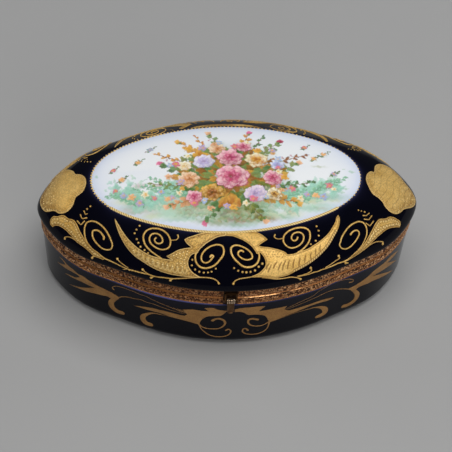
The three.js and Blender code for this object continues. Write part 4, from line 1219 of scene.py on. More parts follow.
def smooth_profile(points, step=0.9):
    """Catmull-Rom through (off, z) points, thinned to about step."""
    p = np.array(points, float)
    out = []
    for i in range(len(p) - 1):
        p0, p1, p2, p3 = p[max(0, i - 1)], p[i], p[i + 1], p[min(len(p) - 1, i + 2)]
        n = max(1, int(math.ceil(np.linalg.norm(p2 - p1) / step)))
        for h in np.arange(n) / n:
            m1, m2 = (p2 - p0) / 2, (p3 - p1) / 2
            out.append((2 * h**3 - 3 * h**2 + 1) * p1 + (h**3 - 2 * h**2 + h) * m1 + (-2 * h**3 + 3 * h**2) * p2 + (h**3 - h**2) * m2)
    return out + [p[-1]]


rows, kinds, thin_glaze_and_highlight_rows = [], [], []


def put(p, kind, thin_glaze_and_highlight=0.0):
    rows.append(p); kinds.append(kind); thin_glaze_and_highlight_rows.append(np.full(NC, thin_glaze_and_highlight) if np.isscalar(thin_glaze_and_highlight) else thin_glaze_and_highlight)


zero = np.zeros(NC)
for s in (0.15, 0.4, 0.65, 0.85):
    p = at(WALL_IN - 13, FLOOR_Z, tb); p[:, :2] *= s
    put(p, 1)
for off, z in smooth_profile([(-17.5, FLOOR_Z), (-14.5, FLOOR_Z + 0.5), (-12.2, 8.3), (-10.4, 10.4), (-8.9, 13.0), (-7.75, 16.5),
                              (-7.5, 24), (-7.45, 34), (-7.3, 44), (-7.2, 49.5), (-6.5, 51.6), (-5.3, 53.6), (-5.0, 54.5)], 1.1):
    put(at(off, z, tb), 1)
for off, z in ((WALL_IN + 0.1, rim_top - 0.2), (WALL_IN + 0.4, rim_top), (WALL_OUT - 0.3, rim_top), (WALL_OUT, rim_top - 0.3),
               (WALL_OUT, wall_top + 0.1), (WALL_OUT + 0.1, wall_top)):
    put(at(off, z, tb), 2)
z_out = np.concatenate([np.linspace(wall_top, wall_top - 2.6, 14), np.linspace(wall_top - 3.3, FOOT_ROUND + 0.6, 38)])
# the blue line along the base's rolled top edge is glaze running thin; a little left of the front, and more faintly
# right of it, it is raised into a painted highlight
rim_painted_highlight = 0.17 + 0.9 * np.exp(-((tb + math.radians(106)) / math.radians(13)) ** 2) + 0.15 * np.exp(-((tb + math.radians(62)) / math.radians(16)) ** 2)
for z in z_out:
    put(base_wall(z, tb), 0, np.clip(rim_painted_highlight * math.exp(-((wall_top - z) / 1.75) ** 5) + 0.04 * math.exp(-(wall_top - z) / 5.0), 0, 1))
for a in np.linspace(np.pi / 2, 0.26, 16):
    put(base_wall(FOOT_ROUND * (1 - math.cos(a)), tb), 0, 0.25 * (1 - a / (np.pi / 2)) ** 3)
foot_out = -(BASE_TAPER + FOOT_ROUND)
for off, z, k in ((foot_out + 1.0, 0.09, 2), (foot_out, 0.0, 2), (foot_out - 2.5, 0.0, 2), (foot_out - FOOT_RING + 0.3, 0.0, 2), (foot_out - FOOT_RING, 0.15, 2),
                  (foot_out - FOOT_RING - 0.5, 1.0, 1), (foot_out - FOOT_RING - 1.0, 2.1, 1), (foot_out - FOOT_RING - 1.6, FOOT_RECESS, 1)):
    put(at(off, z, tb), k)
for s in (0.85, 0.6, 0.35, 0.12):
    p = at(foot_out - FOOT_RING - 2.0, FOOT_RECESS, tb); p[:, :2] *= s
    put(p, 1)
verts, faces, tag = loft(rows, first=[0, 0, FLOOR_Z], last=[0, 0, FOOT_RECESS])
kind_of = np.array(kinds)
idx = kind_of[np.minimum(tag + 1, len(rows) - 1)]
verts[:, 2] = np.maximum(verts[:, 2], 0)
make("base_porcelain", verts, faces, "base", [m_cobalt, m_white, m_bisque], replaces=["base_bowl"],
     index=idx, attrs={"thin_glaze_and_highlight": np.concatenate(thin_glaze_and_highlight_rows + [np.zeros(2)])}, sharp=50)


# plaster beds and the guide lip, as fine rings
def ring(name, profile, body, mat, slot, replaces, angles=tb, tone=None, sharp=35):
    """profile: (off, z) counter-clockwise in the (outward, up) plane, so that the faces look out."""
    rws = [at(o, z, angles) for o, z in profile][::-1]
    v, f, _t = loft(rws, wrap=True)
    return make(name, v, f, body, mat, replaces=replaces, sharp=sharp,
                attrs={"tone": np.zeros((len(v), 3)) if tone is None else tone})


def bed(z0, z1, name, body):
    z = (z0 + z1) / 2
    ring(name, [(WALL_OUT, z0 + 0.25), (WALL_OUT, z1 - 0.25), (WALL_OUT - 0.3, z1), (WALL_IN + 0.3, z1), (WALL_IN - 0.12, z1 - 0.35),
                (WALL_IN - 0.2, z), (WALL_IN - 0.05, z0 + 0.35), (WALL_IN + 0.3, z0), (WALL_OUT - 0.3, z0)], body, m_plaster, "plaster", [name.replace("_fill", "_cement")])


bed(rim_top + GAP, rim_top + GAP + CEMENT, "base_band_fill", "base")
bed(lid_edge - GAP - CEMENT, lid_edge - GAP, "lid_band_fill", "lid")

# ================================================================ gilding on the lid
def chart(surf, normal, v, n, at_v):
    t, _l = even_angles(n, lambda a: surf(at_v, a))
    T, V = np.meshgrid(t, v)
    return t, surf(V, T), normal(V, T)


def lines(d, at_, width):
    return np.exp(-((d - at_) / width) ** 2)


def tones(cut, painted_highlight=None):
    out = np.zeros(cut.shape + (3,))
    out[..., 0] = np.clip(cut, 0, 1)
    if painted_highlight is not None:
        out[..., 1] = np.clip(painted_highlight, 0, 1)
    return out


def coarse(seed, shape, k=2):
    """Random values in cells k points wide."""
    g = np.random.default_rng(seed).uniform(0, 1, (shape[0] // k + 2, shape[1] // k + 2))
    return np.repeat(np.repeat(g, k, 0), k, 1)[:shape[0], :shape[1]]


def finish_cartouche(d, along, X, V, **_):
    """Long shallow S-shaped grooves on the right one, fine burnishing strokes on the left one."""
    x, y = X[..., 0], X[..., 1]
    right_ = x > 0
    w = np.where(right_, 0.93 * x - 0.38 * y, 0.96 * x + 0.28 * y)
    c = np.where(right_, 0.38 * x + 0.93 * y, -0.28 * x + 0.96 * y)
    wave = w + np.where(right_, 1.1 * np.sin(c * 0.30 + 0.5), 0.25 * np.sin(c * 0.7) + 0.12 * np.sin(c * 2.1 + w))
    groove = np.clip((np.cos(2 * np.pi * wave / 4.9) - 0.88) / 0.12, 0, 1)
    stroke_ = np.clip(0.5 + 0.5 * np.cos(2 * np.pi * wave / 1.15), 0, 1) * np.clip(0.5 + 0.5 * np.sin(c * 0.8 + 2.2 * np.sin(w * 1.3)), 0, 1)
    cut = np.where(right_, groove + 0.22 * stroke_, 0.34 * stroke_) * np.clip((d - 1.6) / 0.6, 0, 1)
    grain = coarse(5, d.shape)
    stip = np.clip((grain - 0.72) / 0.28, 0, 1) * np.clip((d - 0.6) / 0.3, 0, 1)
    side_ = np.clip((0.21 - V) / 0.14, 0, 1)
    side_ = np.maximum(side_, np.where(right_, 0, np.clip((np.abs(x) - 119) / 11, 0, 1))) * np.clip((d - 0.5) / 0.4, 0, 1)
    beads = 0.5 + 0.5 * np.cos(2 * np.pi * along / 1.45)
    rim = lines(d, 1.25, 0.40)
    # painted shade in the right one's grooves, between the rim's beads and in a band inside the edge; painted highlight
    # on the rim's beads, a line at the very edge, scattered specks on the outer side and the middle, more on the left
    # one; the outer side is also darker and speckled, and the stipple and burnishing strokes are the gilding's texture
    return (-0.10 * cut - 0.07 * stip - 0.17 * rim * (1 - 0.8 * beads),
            tones(0.36 * cut + np.where(right_, 0.13, 0.10) * stip + side_ * (np.where(right_, 0.22, 0.40) + 0.18 * (grain > 0.70)) + 0.80 * rim * (1 - beads) + 0.10 * np.exp(-((d - 3.2) / 1.6) ** 2), 0.6 * rim * beads ** 2 + 0.25 * lines(d, 0.45, 0.25) + 0.95 * side_ * (grain < 0.055) + np.where(right_, 0.10, 0.14) * np.clip((d - 2.5) / 4, 0, 1)))


def finish_fan(d, along, **_):
    a = lines(d, 0.98, 0.33)
    dots_ = 0.5 + 0.5 * np.cos(2 * np.pi * along / 2.1)
    c = lines(d, 2.0, 0.32)
    e = lines(d, 3.2, 0.30) * 0.7
    g = coarse(6, d.shape)
    stip = np.clip((g - 0.62) / 0.25, 0, 1) * np.clip((d - 1.2) / 0.3, 0, 1)
    # painted shade in the two grooves and between the beads of the middle line, painted highlight on those beads; the
    # stipple is the gilding's texture
    return (-0.16 * a - 0.14 * c * (1 - dots_) - 0.12 * e - 0.05 * stip,
            tones(0.95 * a + 0.8 * c * (1 - dots_) + 0.5 * e + 0.27 * stip, 1.0 * c * dots_ ** 1.5))


def finish_horn_left(d, along, **_):
    a = lines(d, 0.95, 0.27)
    c = lines(d, 1.75, 0.22) * 0.6
    g = coarse(7, d.shape)
    stip = np.clip((g - 0.60) / 0.22, 0, 1) * np.clip((d - 1.0) / 0.3, 0, 1)
    # painted shade in the two grooves, painted highlight on a line at the very edge; the stipple is the gilding's
    # texture
    return -0.16 * a - 0.09 * c - 0.04 * stip, tones(0.9 * a + 0.5 * c + 0.56 * stip, 0.35 * lines(d, 0.40, 0.25))


def finish_horn_right(d, along, s, where, **_):
    on = ((along > s[where[3]]) & (along < s[where[11]])).astype(float)
    twist = 0.5 + 0.5 * np.cos(2 * np.pi * (along / 1.9 + np.clip(d, 0, 1.5) * 0.45))
    rope = np.sin(np.pi * np.clip(d / 1.5, 0, 1)) * on
    a = lines(d, 1.75, 0.26) * on + lines(d, 0.85, 0.25) * (1 - on) * 0.9
    g = np.random.default_rng(8).uniform(0, 1, d.shape)
    stip = np.clip((g - 0.78) / 0.22, 0, 1) * np.clip((d - 1.0) / 0.3, 0, 1)
    # painted shade in the grooves and between the rope's twists, painted highlight on the twists' crests; the stipple
    # is the gilding's texture
    return 0.14 * rope * (twist - 0.6) - 0.17 * a - 0.04 * stip, tones(0.9 * a + 1.0 * rope * (1 - twist) ** 0.7 + 0.3 * stip, 0.8 * rope * twist ** 2)


FINISH = {"cart_L": finish_cartouche, "cart_R": finish_cartouche, "fan_L": finish_fan, "fan_R": finish_fan,
          "field_L": finish_horn_left, "field_R": finish_horn_right}


def gild(surf, normal, v, n, at_v, ornament, pads, ends, poly_h, line_h, dot_r, shift, thin, outline):
    """Front relief (mirrored for the back) and the relief of the two ends, as grids. outline is how strongly the
    gilding's edges are darkened as painted shade.
    """
    t, P, N = chart(surf, normal, v, n, at_v)
    P = P + N * shift
    reliefs = {}
    for which in ("front", "ends"):
        r = Relief(lambda a, b: surf(a, b), v, t, P, N)
        r.G, r.D, r.S = np.zeros(P.shape[:2]), np.zeros(P.shape[:2]), np.zeros(P.shape[:2])
        todo = {k: e for k, e in ornament.items() if (k in ends) == (which == "ends")}
        for order in ("poly", "stroke", "dots", "groove", "shade", "ridge", "pits", "pearls"):
            for key, (kind, pts) in todo.items():
                if kind != order:
                    continue
                if kind == "poly":
                    r.poly(pts, pads, poly_h, FINISH.get(key))
                elif kind == "stroke":
                    r.stroke([(p[0], p[1], max(0.15, (p[2] if len(p) > 2 else 0.8) * thin[0] - thin[1])) for p in pts], 0.8, pads, line_h)
                elif kind == "dots":
                    r.dots(pts, dot_r, pads)
                elif kind == "groove":
                    # the groove is darkened as painted shade
                    r.stroke(pts, 0.50, pads, engrave=(0.17, 0.85, 0.0))
                elif kind == "ridge":
                    # the raised line is brightened as painted highlight
                    r.stroke(pts, 0.34, pads, engrave=(-0.12, 0.0, 0.50))
                else:
                    for p in pts:
                        rows_, cols_, _t = r.window(np.array([p[1]]), np.array([math.radians(p[0])]), pads[0] / 2, pads[1] / 2)
                        ix = np.ix_(rows_, cols_)
                        c = surf(np.array([p[1]]), np.array([math.radians(p[0])]))[0]
                        size = (p[2] if len(p) > 2 else 0.3) * rng.uniform(0.9, 1.15)
                        away = np.linalg.norm(P[ix] - c, axis=-1)
                        g = np.exp(-(away / size) ** 2)
                        if kind == "shade":
                            r.D[ix] = np.maximum(r.D[ix], 0.60 * g)
                        elif kind == "pits":
                            r.G[ix] = np.maximum(r.G[ix], 0.15 * g)
                            r.D[ix] = np.maximum(r.D[ix], 0.9 * g)
                        else:
                            # painted highlight on the pearl and a ring of painted shadow round it
                            g = np.exp(-(away / size) ** 4)
                            halo = np.exp(-((away - 1.7 * size) / (0.5 * size)) ** 2)
                            r.G[ix] = np.where(g > 0.02, np.minimum(r.G[ix], 0) - 0.30 * g, r.G[ix])
                            r.D[ix] = np.where(away < 1.15 * size, 0, np.maximum(r.D[ix], 0.60 * halo))
                            r.S[ix] = np.maximum(r.S[ix], 1.0 * g)
        edge = np.clip(r.F / 0.4, 0, 1)
        r.H = np.where(r.F > 0, np.maximum(0.03, r.H - r.G * edge), 0)
        # tone 0 takes the dark of the pits and the painted shade of grooves, hollows and rings round pearls, then
        # painted shade along the gilding's edges; tone 1 takes the painted highlights
        r.T[..., 0] = np.maximum(r.T[..., 0], r.D * edge)
        r.T[..., 0] = np.maximum(r.T[..., 0], outline * np.exp(-(np.clip(r.F, 0, 9) / 0.24) ** 2))
        r.T[..., 1] = np.maximum(r.T[..., 1], r.S * edge)
        r.F[0] = r.F[-1] = -1
        reliefs[which] = r
    return t, P, N, reliefs


u_g = rows_by_length(lid, 0.004, 0.60, 0.34)
tl, PL, NL, lid_rel = gild(lid, lid_normal, u_g, 1720, 0.2, LID_ORNAMENT, (0.045, 0.06), ("cart_L", "cart_R", "cart_pearls_L", "cart_pearls_R"), 0.30, 0.46, 0.8, SKIN, (0.84, 0.05), 0.62)
flip = (-np.arange(len(tl))) % len(tl)
for name, r, mirror in (("lid_gilding_front", lid_rel["front"], False), ("lid_gilding_back", lid_rel["front"], True),
                        ("lid_gilding_ends", lid_rel["ends"], False)):
    F, H, T = (a[:, flip].copy() if mirror else a for a in (r.F, r.H, r.T))
    if mirror:  # at the back the middle gives way to a thin crescent beside the oval, with dark glaze below it
        out_ = -inside_border(PL[..., 0], PL[..., 1])
        ax_ = np.abs(PL[..., 0])
        near_ = (ax_ < 46) & (PL[..., 1] > 0)
        ease = np.clip((ax_ - 22) / 16, 0, 1)
        ease = ease * ease * (3 - 2 * ease)
        F = np.where(near_, np.minimum(F, out_ - 9.4 * (1 - ease)), F) - 0.26
        F = np.maximum(F, np.where(near_, np.minimum(out_ - 1.7, 4.9 - out_ - 3.2 * (ax_ / 27) ** 4), -9))
        # painted shade along the crescent's edges
        T[..., 0] = np.maximum(T[..., 0], np.where(near_, 0.62 * np.exp(-(np.clip(F, 0, 9) / 0.24) ** 2), 0))
        dome = 0.28 * np.sqrt(np.clip(F / 0.5, 0, 1)) + 0.03
        H = np.where(near_, np.minimum(np.maximum(H, dome), dome + 0.05), H)
    v, f, e = contour(PL, NL, F, H, 0.10, True, T)
    make(name, v, f, "lid", m_gold, attrs={"tone": e})


def base_normal(z, t):
    return normals(base_wall, z, t, 0.05, low=0.3)


z_g = np.arange(2.0, 49.9, 0.24)
tg, PB, NB, base_rel = gild(base_wall, base_normal, z_g, 2100, 30.0, BASE_ORNAMENT, (3.0, 0.05), (), 0.13, 0.15, 0.6, 0.0, (0.97, 0.10), 0.25)
flip_b = (-np.arange(len(tg))) % len(tg)
for name, mirror in (("base_gilding_front", False), ("base_gilding_back", True)):
    r = base_rel["front"]
    F, H, T = (a[:, flip_b] if mirror else a for a in (r.F, r.H, r.T))
    v, f, e = contour(PB, NB, F, H, 0.08, True, T)
    make(name, v, f, "base", m_flat, attrs={"tone": e})


# ================================================================ edging of the oval: a twisted gilt cord in front, beads round the rest
def border_frame(a):
    x, y = border(a)
    u, t = lid_find(x, y)
    p, n = lid(u, t), lid_normal(u, t)
    x1, y1 = border(a + 1e-4)
    x0, y0 = border(a - 1e-4)
    tan = np.stack([x1 - x0, y1 - y0, np.zeros_like(x)], -1)
    tan = unit(tan - (tan * n).sum(-1, keepdims=True) * n)
    return p + n * SKIN, n, tan, np.cross(n, tan)


def arc_params(a0, a1, spacing):
    d = np.linspace(a0, a1, 6001)
    p = np.stack(border(d), -1)
    s = np.concatenate([[0], np.cumsum(np.linalg.norm(np.diff(p, axis=0), axis=1))])
    n = int(round(s[-1] / spacing))
    return np.interp(np.linspace(0, s[-1], n + 1), s, d), np.linspace(0, s[-1], n + 1)


ROPE_FROM, ROPE_TO = math.radians(-148.4), math.radians(-37.9)
a_r, s_r = arc_params(ROPE_FROM, ROPE_TO, 0.24)
p, n, tan, side = border_frame(a_r)
across = np.linspace(-1, 1, 11)
half_w = 0.98 * np.minimum(1, np.minimum(s_r, s_r[-1] - s_r) / 2.5 + 0.35)
sec, tone = [], []
for w in across:
    lay = 0.5 + 0.5 * np.cos(2 * np.pi * (s_r / 1.9 + w * 0.42))
    h = (0.18 + 0.40 * lay ** 0.7) * np.sqrt(max(0, 1 - w * w)) * np.minimum(1, half_w)
    sec.append(p + side * (w * half_w)[:, None] + n * (h - 0.02)[:, None])
    # painted shade between the cord's twists, painted highlight on their crests
    tone.append(np.stack([0.80 * (1 - lay) ** 2.5, 0.25 + 0.75 * lay, 0 * lay], -1))
for w in across[::-1]:
    sec.append(p + side * (w * half_w)[:, None] - n * 0.12)
    tone.append(np.zeros((len(s_r), 3)))
m, k = len(sec), len(s_r)
verts = np.stack(sec, 1).reshape(-1, 3)
tn = np.stack(tone, 1).reshape(-1, 3)
i, j = np.meshgrid(np.arange(k - 1), np.arange(m), indexing="ij")
j1 = (j + 1) % m
quads = np.stack([i * m + j, i * m + j1, (i + 1) * m + j1, (i + 1) * m + j], -1).reshape(-1, 4)
make("reserve_cord", verts, [quads[:, ::-1], np.arange(m)[None], ((k - 1) * m + np.arange(m))[None, ::-1]], "lid", m_gold, attrs={"tone": tn})


def bead_mesh(p, n, tan, side, r, rise, seg=10, rings=5, flat=1.0, sink=0.55):
    """Little domed beads on a surface, closed underneath."""
    verts, faces, tris = [], [], []
    a = np.arange(seg) * 2 * np.pi / seg
    base = 0
    for q in range(len(p)):
        ringz = []
        for i in range(rings):
            e = np.pi / 2 * i / rings
            c, h = math.cos(e), math.sin(e)
            ringz.append(p[q] + n[q] * (h * r[q] * rise) + r[q] * c * (np.cos(a)[:, None] * tan[q] * flat + np.sin(a)[:, None] * side[q]))
        low = ringz[0] - n[q] * sink * r[q]
        v = np.concatenate([low] + ringz + [[p[q] + n[q] * r[q] * rise]])
        verts.append(v)
        j = np.arange(seg)
        j1 = (j + 1) % seg
        for i in range(rings):
            faces.append(base + np.stack([i * seg + j, i * seg + j1, (i + 1) * seg + j1, (i + 1) * seg + j], -1))
        top = (rings + 1) * seg
        tris.append(base + np.stack([rings * seg + j, rings * seg + j1, np.full(seg, top)], -1))
        tris.append(base + np.stack([np.zeros(seg - 2, int), np.arange(2, seg), np.arange(1, seg - 1)], -1))
        base += len(v)
    return np.concatenate(verts), [np.concatenate(faces), np.concatenate(tris)]


a_b, s_b = arc_params(ROPE_TO + 0.022, ROPE_FROM + 2 * np.pi - 0.022, 0.1)
step_b = 2.78 - 0.24 * np.clip(-border(a_b)[0] / 60, -1, 1)
count_b = np.concatenate([[0], np.cumsum(np.diff(s_b) / step_b[1:])])
a_b = np.interp(np.linspace(0, count_b[-1], int(round(count_b[-1])) + 1), count_b, a_b)
p, n, tan, side = border_frame(a_b)
r = (0.72 + 0.14 * np.clip(-p[:, 0] / 70, -1, 1)) * rng.uniform(0.90, 1.08, len(a_b))
p = p + side * rng.normal(0, 0.06, len(a_b))[:, None]
v, f = bead_mesh(p, n, tan, side, r, 0.72)
make("reserve_beads", v, f, "lid", m_gold, attrs={"tone": np.tile([0.10, 0.45, 0.0], (len(v), 1))})

# ================================================================ painted oval: a loose spray of garden flowers, made up here
gx, gy = np.arange(-101.6, 96.6, 0.42), np.arange(-51.5, 53.2, 0.42)
X, Y = np.meshgrid(gx, gy)
FR = inside_border(X, Y)
keep = FR > -1.2
U, T_ = np.full(X.shape, 0.75), np.zeros(X.shape)
uu, tt_ = lid_find(X[keep], Y[keep])
U[keep], T_[keep] = uu, tt_
PR = lid(U, T_)
PR[..., 0], PR[..., 1] = X, Y
NR = np.zeros_like(PR)
NR[..., 2] = 1
NR[keep] = lid_normal(U[keep], T_[keep])
FRc = np.where(keep, FR, -1.0)
HR = 0.05 * np.clip(FRc / 0.4, 0, 1)


class Paint:
    """Colours laid over each other on the grid, with soft brush edges."""

    def __init__(self, X, Y, ground):
        self.X = X + sum(a * np.sin(X * fx + Y * fy + ph) for a, fx, fy, ph in ((0.30, 0.9, 1.3, 0.4), (0.22, -1.9, 1.1, 2.0), (0.16, 2.9, 2.3, 4.0), (0.12, -3.1, 4.3, 1.1)))
        self.Y = Y + sum(a * np.sin(X * fx + Y * fy + ph) for a, fx, fy, ph in ((0.30, 1.2, -0.8, 3.4), (0.22, 1.4, 2.1, 5.0), (0.16, -2.6, 2.6, 0.9), (0.12, 4.4, 2.9, 2.6)))
        self.C = np.broadcast_to(np.array(ground, float), X.shape + (3,)).copy()
        self.x0, self.y0, self.d = X[0, 0], Y[0, 0], X[0, 1] - X[0, 0]

    def box(self, x, y, r):
        j0, j1 = int((x - r - self.x0) / self.d), int((x + r - self.x0) / self.d) + 2
        i0, i1 = int((y - r - self.y0) / self.d), int((y + r - self.y0) / self.d) + 2
        return (slice(max(0, i0), max(0, min(self.X.shape[0], i1))), slice(max(0, j0), max(0, min(self.X.shape[1], j1))))

    def lay(self, w, mask, color):
        mask = np.clip(mask, 0, 1)[..., None]
        self.C[w] = self.C[w] * (1 - mask) + np.asarray(color) * mask

    def petal(self, x, y, ang, length, width, inner, outer, alpha=0.95, tip=0.35, soft=0.35, vein=0.0):
        """A petal or leaf from (x, y) outward along ang; tip 0 is round, 1 pointed."""
        w = self.box(x + math.cos(ang) * length / 2, y + math.sin(ang) * length / 2, length * 0.75 + width + 1)
        dx, dy = self.X[w] - x, self.Y[w] - y
        a = (dx * math.cos(ang) + dy * math.sin(ang)) / length
        b = -dx * math.sin(ang) + dy * math.cos(ang)
        ac = np.clip(a, 0.0, 1.0)
        half = width * np.sin(np.pi * ac ** (0.75 + 0.15 * tip)) ** (0.55 + 0.45 * tip)
        m = np.clip((half - np.abs(b)) / soft + 0.5, 0, 1) * (a > 0) * (a < 1) * alpha
        k = np.clip(ac + 0.18 * b / max(width, 0.1), 0, 1)[..., None]
        col = np.asarray(inner) * (1 - k) + np.asarray(outer) * k
        turn = math.cos(ang - 2.1) * (ac - 0.35) - 0.75 * math.sin(ang - 2.1) * np.clip(b / max(width, 0.1), -1, 1)
        streak = np.sin(b * (7.5 / max(width, 0.4)) + 2.6 * ac + 5 * ang)
        col = np.clip(col * (1 + 0.24 * turn + 0.085 * streak)[..., None], 0, 1)
        if vein:
            col = col * (1 - vein * np.exp(-(b / 0.28) ** 2)[..., None] * (ac < 0.92)[..., None])
        self.lay(w, m, col)

    def line(self, pts, r0, r1, color, alpha=0.9):
        pts = np.asarray(pts, float)
        n = len(pts)
        for q in range(n - 1):
            a, b = pts[q], pts[q + 1]
            ra, rb = r0 + (r1 - r0) * q / (n - 1), r0 + (r1 - r0) * (q + 1) / (n - 1)
            w = self.box(*((a + b) / 2), np.linalg.norm(b - a) / 2 + max(ra, rb) + 1)
            px, py = self.X[w] - a[0], self.Y[w] - a[1]
            ab = b - a
            h = np.clip((px * ab[0] + py * ab[1]) / max(1e-6, ab @ ab), 0, 1)
            d = np.hypot(px - h * ab[0], py - h * ab[1])
            self.lay(w, np.clip((ra + (rb - ra) * h - d) / 0.35 + 0.5, 0, 1) * alpha, color)

    def wash(self, x, y, rx, ry, color, alpha):
        w = self.box(x, y, max(rx, ry) * 2)
        d = ((self.X[w] - x) / rx) ** 2 + ((self.Y[w] - y) / ry) ** 2
        self.lay(w, alpha * np.exp(-d * 1.6), color)


def curve(p0, p1, p2, n=16):
    h = np.linspace(0, 1, n)[:, None]
    return (1 - h) ** 2 * np.array(p0, float) + 2 * h * (1 - h) * np.array(p1, float) + h * h * np.array(p2, float)


MINT, SAGE, OLIVE, MOSS = (0.28, 0.62, 0.46), (0.17, 0.34, 0.14), (0.30, 0.30, 0.07), (0.07, 0.14, 0.035)
RUST, UMBER, AMBER, PEACH = (0.52, 0.17, 0.035), (0.16, 0.060, 0.028), (0.80, 0.44, 0.08), (0.88, 0.48, 0.27)
ROSE, CRIM, BLUSH, CREAM = (0.70, 0.16, 0.30), (0.42, 0.035, 0.10), (0.90, 0.52, 0.58), (0.93, 0.86, 0.62)
LILAC, BLUE = (0.46, 0.38, 0.66), (0.34, 0.46, 0.76)
pt = Paint(X, Y, (0.86, 0.885, 0.905))
prg = np.random.default_rng(11)


def jit(c, s=0.06):
    return tuple(np.clip(np.array(c) * (1 + prg.uniform(-s, s)) + prg.uniform(-s, s, 3) * 0.18, 0, 1))


def leaf(x, y, ang, l, w, a, b, vein=0.30, alpha=0.92):
    pt.petal(x, y, ang, l, w, jit(a), jit(b), alpha, 0.9, 0.34, vein)
    pt.petal(x, y, ang + 0.05, l * 0.94, w * 0.42, jit(b, 0.12), jit(b, 0.12), 0.35, 0.9, 0.5)


def mixed(a, b, k):
    return tuple(p * (1 - k) + q * k for p, q in zip(a, b))


def bloom(x, y, r, dark, mid, light, tilt=0.8):
    """A full rose-like flower seen from a little above: rings of overlapping petals, each with a shaded root,
    a light rolled edge and a few brush hairs."""
    pt.wash(x + 0.7, y - 1.4, r * 1.25, r * 1.1, jit(MOSS), 0.62)
    for ringr, cnt, size, ca, cb in ((0.50, 7, 0.68, mid, light), (0.40, 6, 0.60, dark, light), (0.27, 6, 0.50, dark, mixed(mid, light, 0.6)),
                                     (0.15, 5, 0.38, dark, mid), (0.05, 3, 0.26, mixed(dark, UMBER, 0.5), mid)):
        off = prg.uniform(0, 6.28)
        for q in prg.permutation(cnt):
            a = off + q * 2 * math.pi / cnt + prg.uniform(-0.22, 0.22)
            rr_, s_ = r * ringr, r * size * prg.uniform(0.86, 1.12)
            px, py = x + math.cos(a) * rr_ * 0.55, y + math.sin(a) * rr_ * 0.55 * tilt
            pt.petal(px + 0.15, py - 0.3, a, s_ * 1.06, s_ * 0.60, jit(dark, 0.1), jit(mixed(dark, mid, 0.4), 0.1), 0.55, 0.05, 0.5)
            pt.petal(px, py, a, s_, s_ * 0.53, jit(ca, 0.1), jit(cb, 0.08), 0.96, 0.05, 0.4)
            pt.petal(px + math.cos(a) * s_ * 0.42, py + math.sin(a) * s_ * 0.42, a + prg.uniform(-0.3, 0.3), s_ * 0.5, s_ * 0.26, jit(cb), jit(mixed(cb, CREAM, 0.45)), 0.55, 0.05, 0.5)
            for h_ in (-0.35, 0.05, 0.4):
                e_ = a + h_ * 0.9
                pt.line([(px, py), (px + math.cos(e_) * s_ * 0.62, py + math.sin(e_) * s_ * 0.62)], 0.13, 0.05, jit(dark, 0.12), 0.55)


def star(x, y, r, petal, heart, n=5, edge=None):
    off = prg.uniform(0, 6.28)
    pt.wash(x + 0.4, y - 0.7, r * 1.1, r * 0.9, jit(SAGE), 0.38)
    for q in range(n):
        a = off + q * 2 * math.pi / n + prg.uniform(-0.2, 0.2)
        pt.petal(x, y, a, r * prg.uniform(0.85, 1.1), r * 0.36, jit(mixed(petal, heart, 0.25), 0.12), jit(edge or petal, 0.1), 0.93, 0.1, 0.32)
        pt.petal(x, y, a, r * 0.8, r * 0.07, jit(heart), jit(petal), 0.55, 0.6, 0.3)
    pt.wash(x, y, r * 0.26, r * 0.24, jit(heart), 1.0)
    for q in range(5):
        a = prg.uniform(0, 6.28)
        pt.wash(x + math.cos(a) * r * 0.2, y + math.sin(a) * r * 0.2, 0.35, 0.35, jit(AMBER), 0.9)


def sprig(p0, p1, p2, n, l, w, a, b, stem=UMBER, thick=0.42, berries=None):
    c = curve(p0, p1, p2, 22)
    pt.line(c, thick, thick * 0.45, jit(stem))
    for q in range(n):
        h = 0.10 + 0.86 * q / max(1, n - 1)
        i_ = min(20, int(h * 21))
        x, y = c[i_]
        d = c[min(21, i_ + 1)] - c[i_]
        ang = math.atan2(d[1], d[0]) + (1 if q % 2 else -1) * prg.uniform(0.5, 0.95)
        k = 1 - 0.42 * h
        leaf(x, y, ang, l * k * prg.uniform(0.85, 1.15), w * k, a, b)
        if berries and q % 2:
            bx, by = x + math.cos(ang + 1.4) * l * 0.5, y + math.sin(ang + 1.4) * l * 0.5
            pt.line([(x, y), (bx, by)], 0.2, 0.16, jit(stem), 0.8)
            pt.wash(bx, by, 0.85, 0.85, jit(berries), 1.0)
            pt.wash(bx - 0.2, by + 0.25, 0.3, 0.3, (0.95, 0.85, 0.75), 0.8)
    x, y = c[-1]
    d = c[-1] - c[-2]
    leaf(x, y, math.atan2(d[1], d[0]), l * 0.62, w * 0.55, a, b)


# pale tinted ground: bluish toward the edge
edge = np.exp(-np.clip(FR, 0, 60) / 6.5)
pt.C = pt.C * (1 - 0.60 * edge[..., None]) + np.array((0.44, 0.54, 0.80)) * 0.60 * edge[..., None]
for q in range(30):
    x, y = prg.uniform(-90, 86), prg.uniform(-34, 42)
    pt.wash(x, y, prg.uniform(12, 30), prg.uniform(3, 8), (0.58, 0.68, 0.84), 0.10)


def room(x, y):
    return inside_border(np.array([x]), np.array([y]))[0]


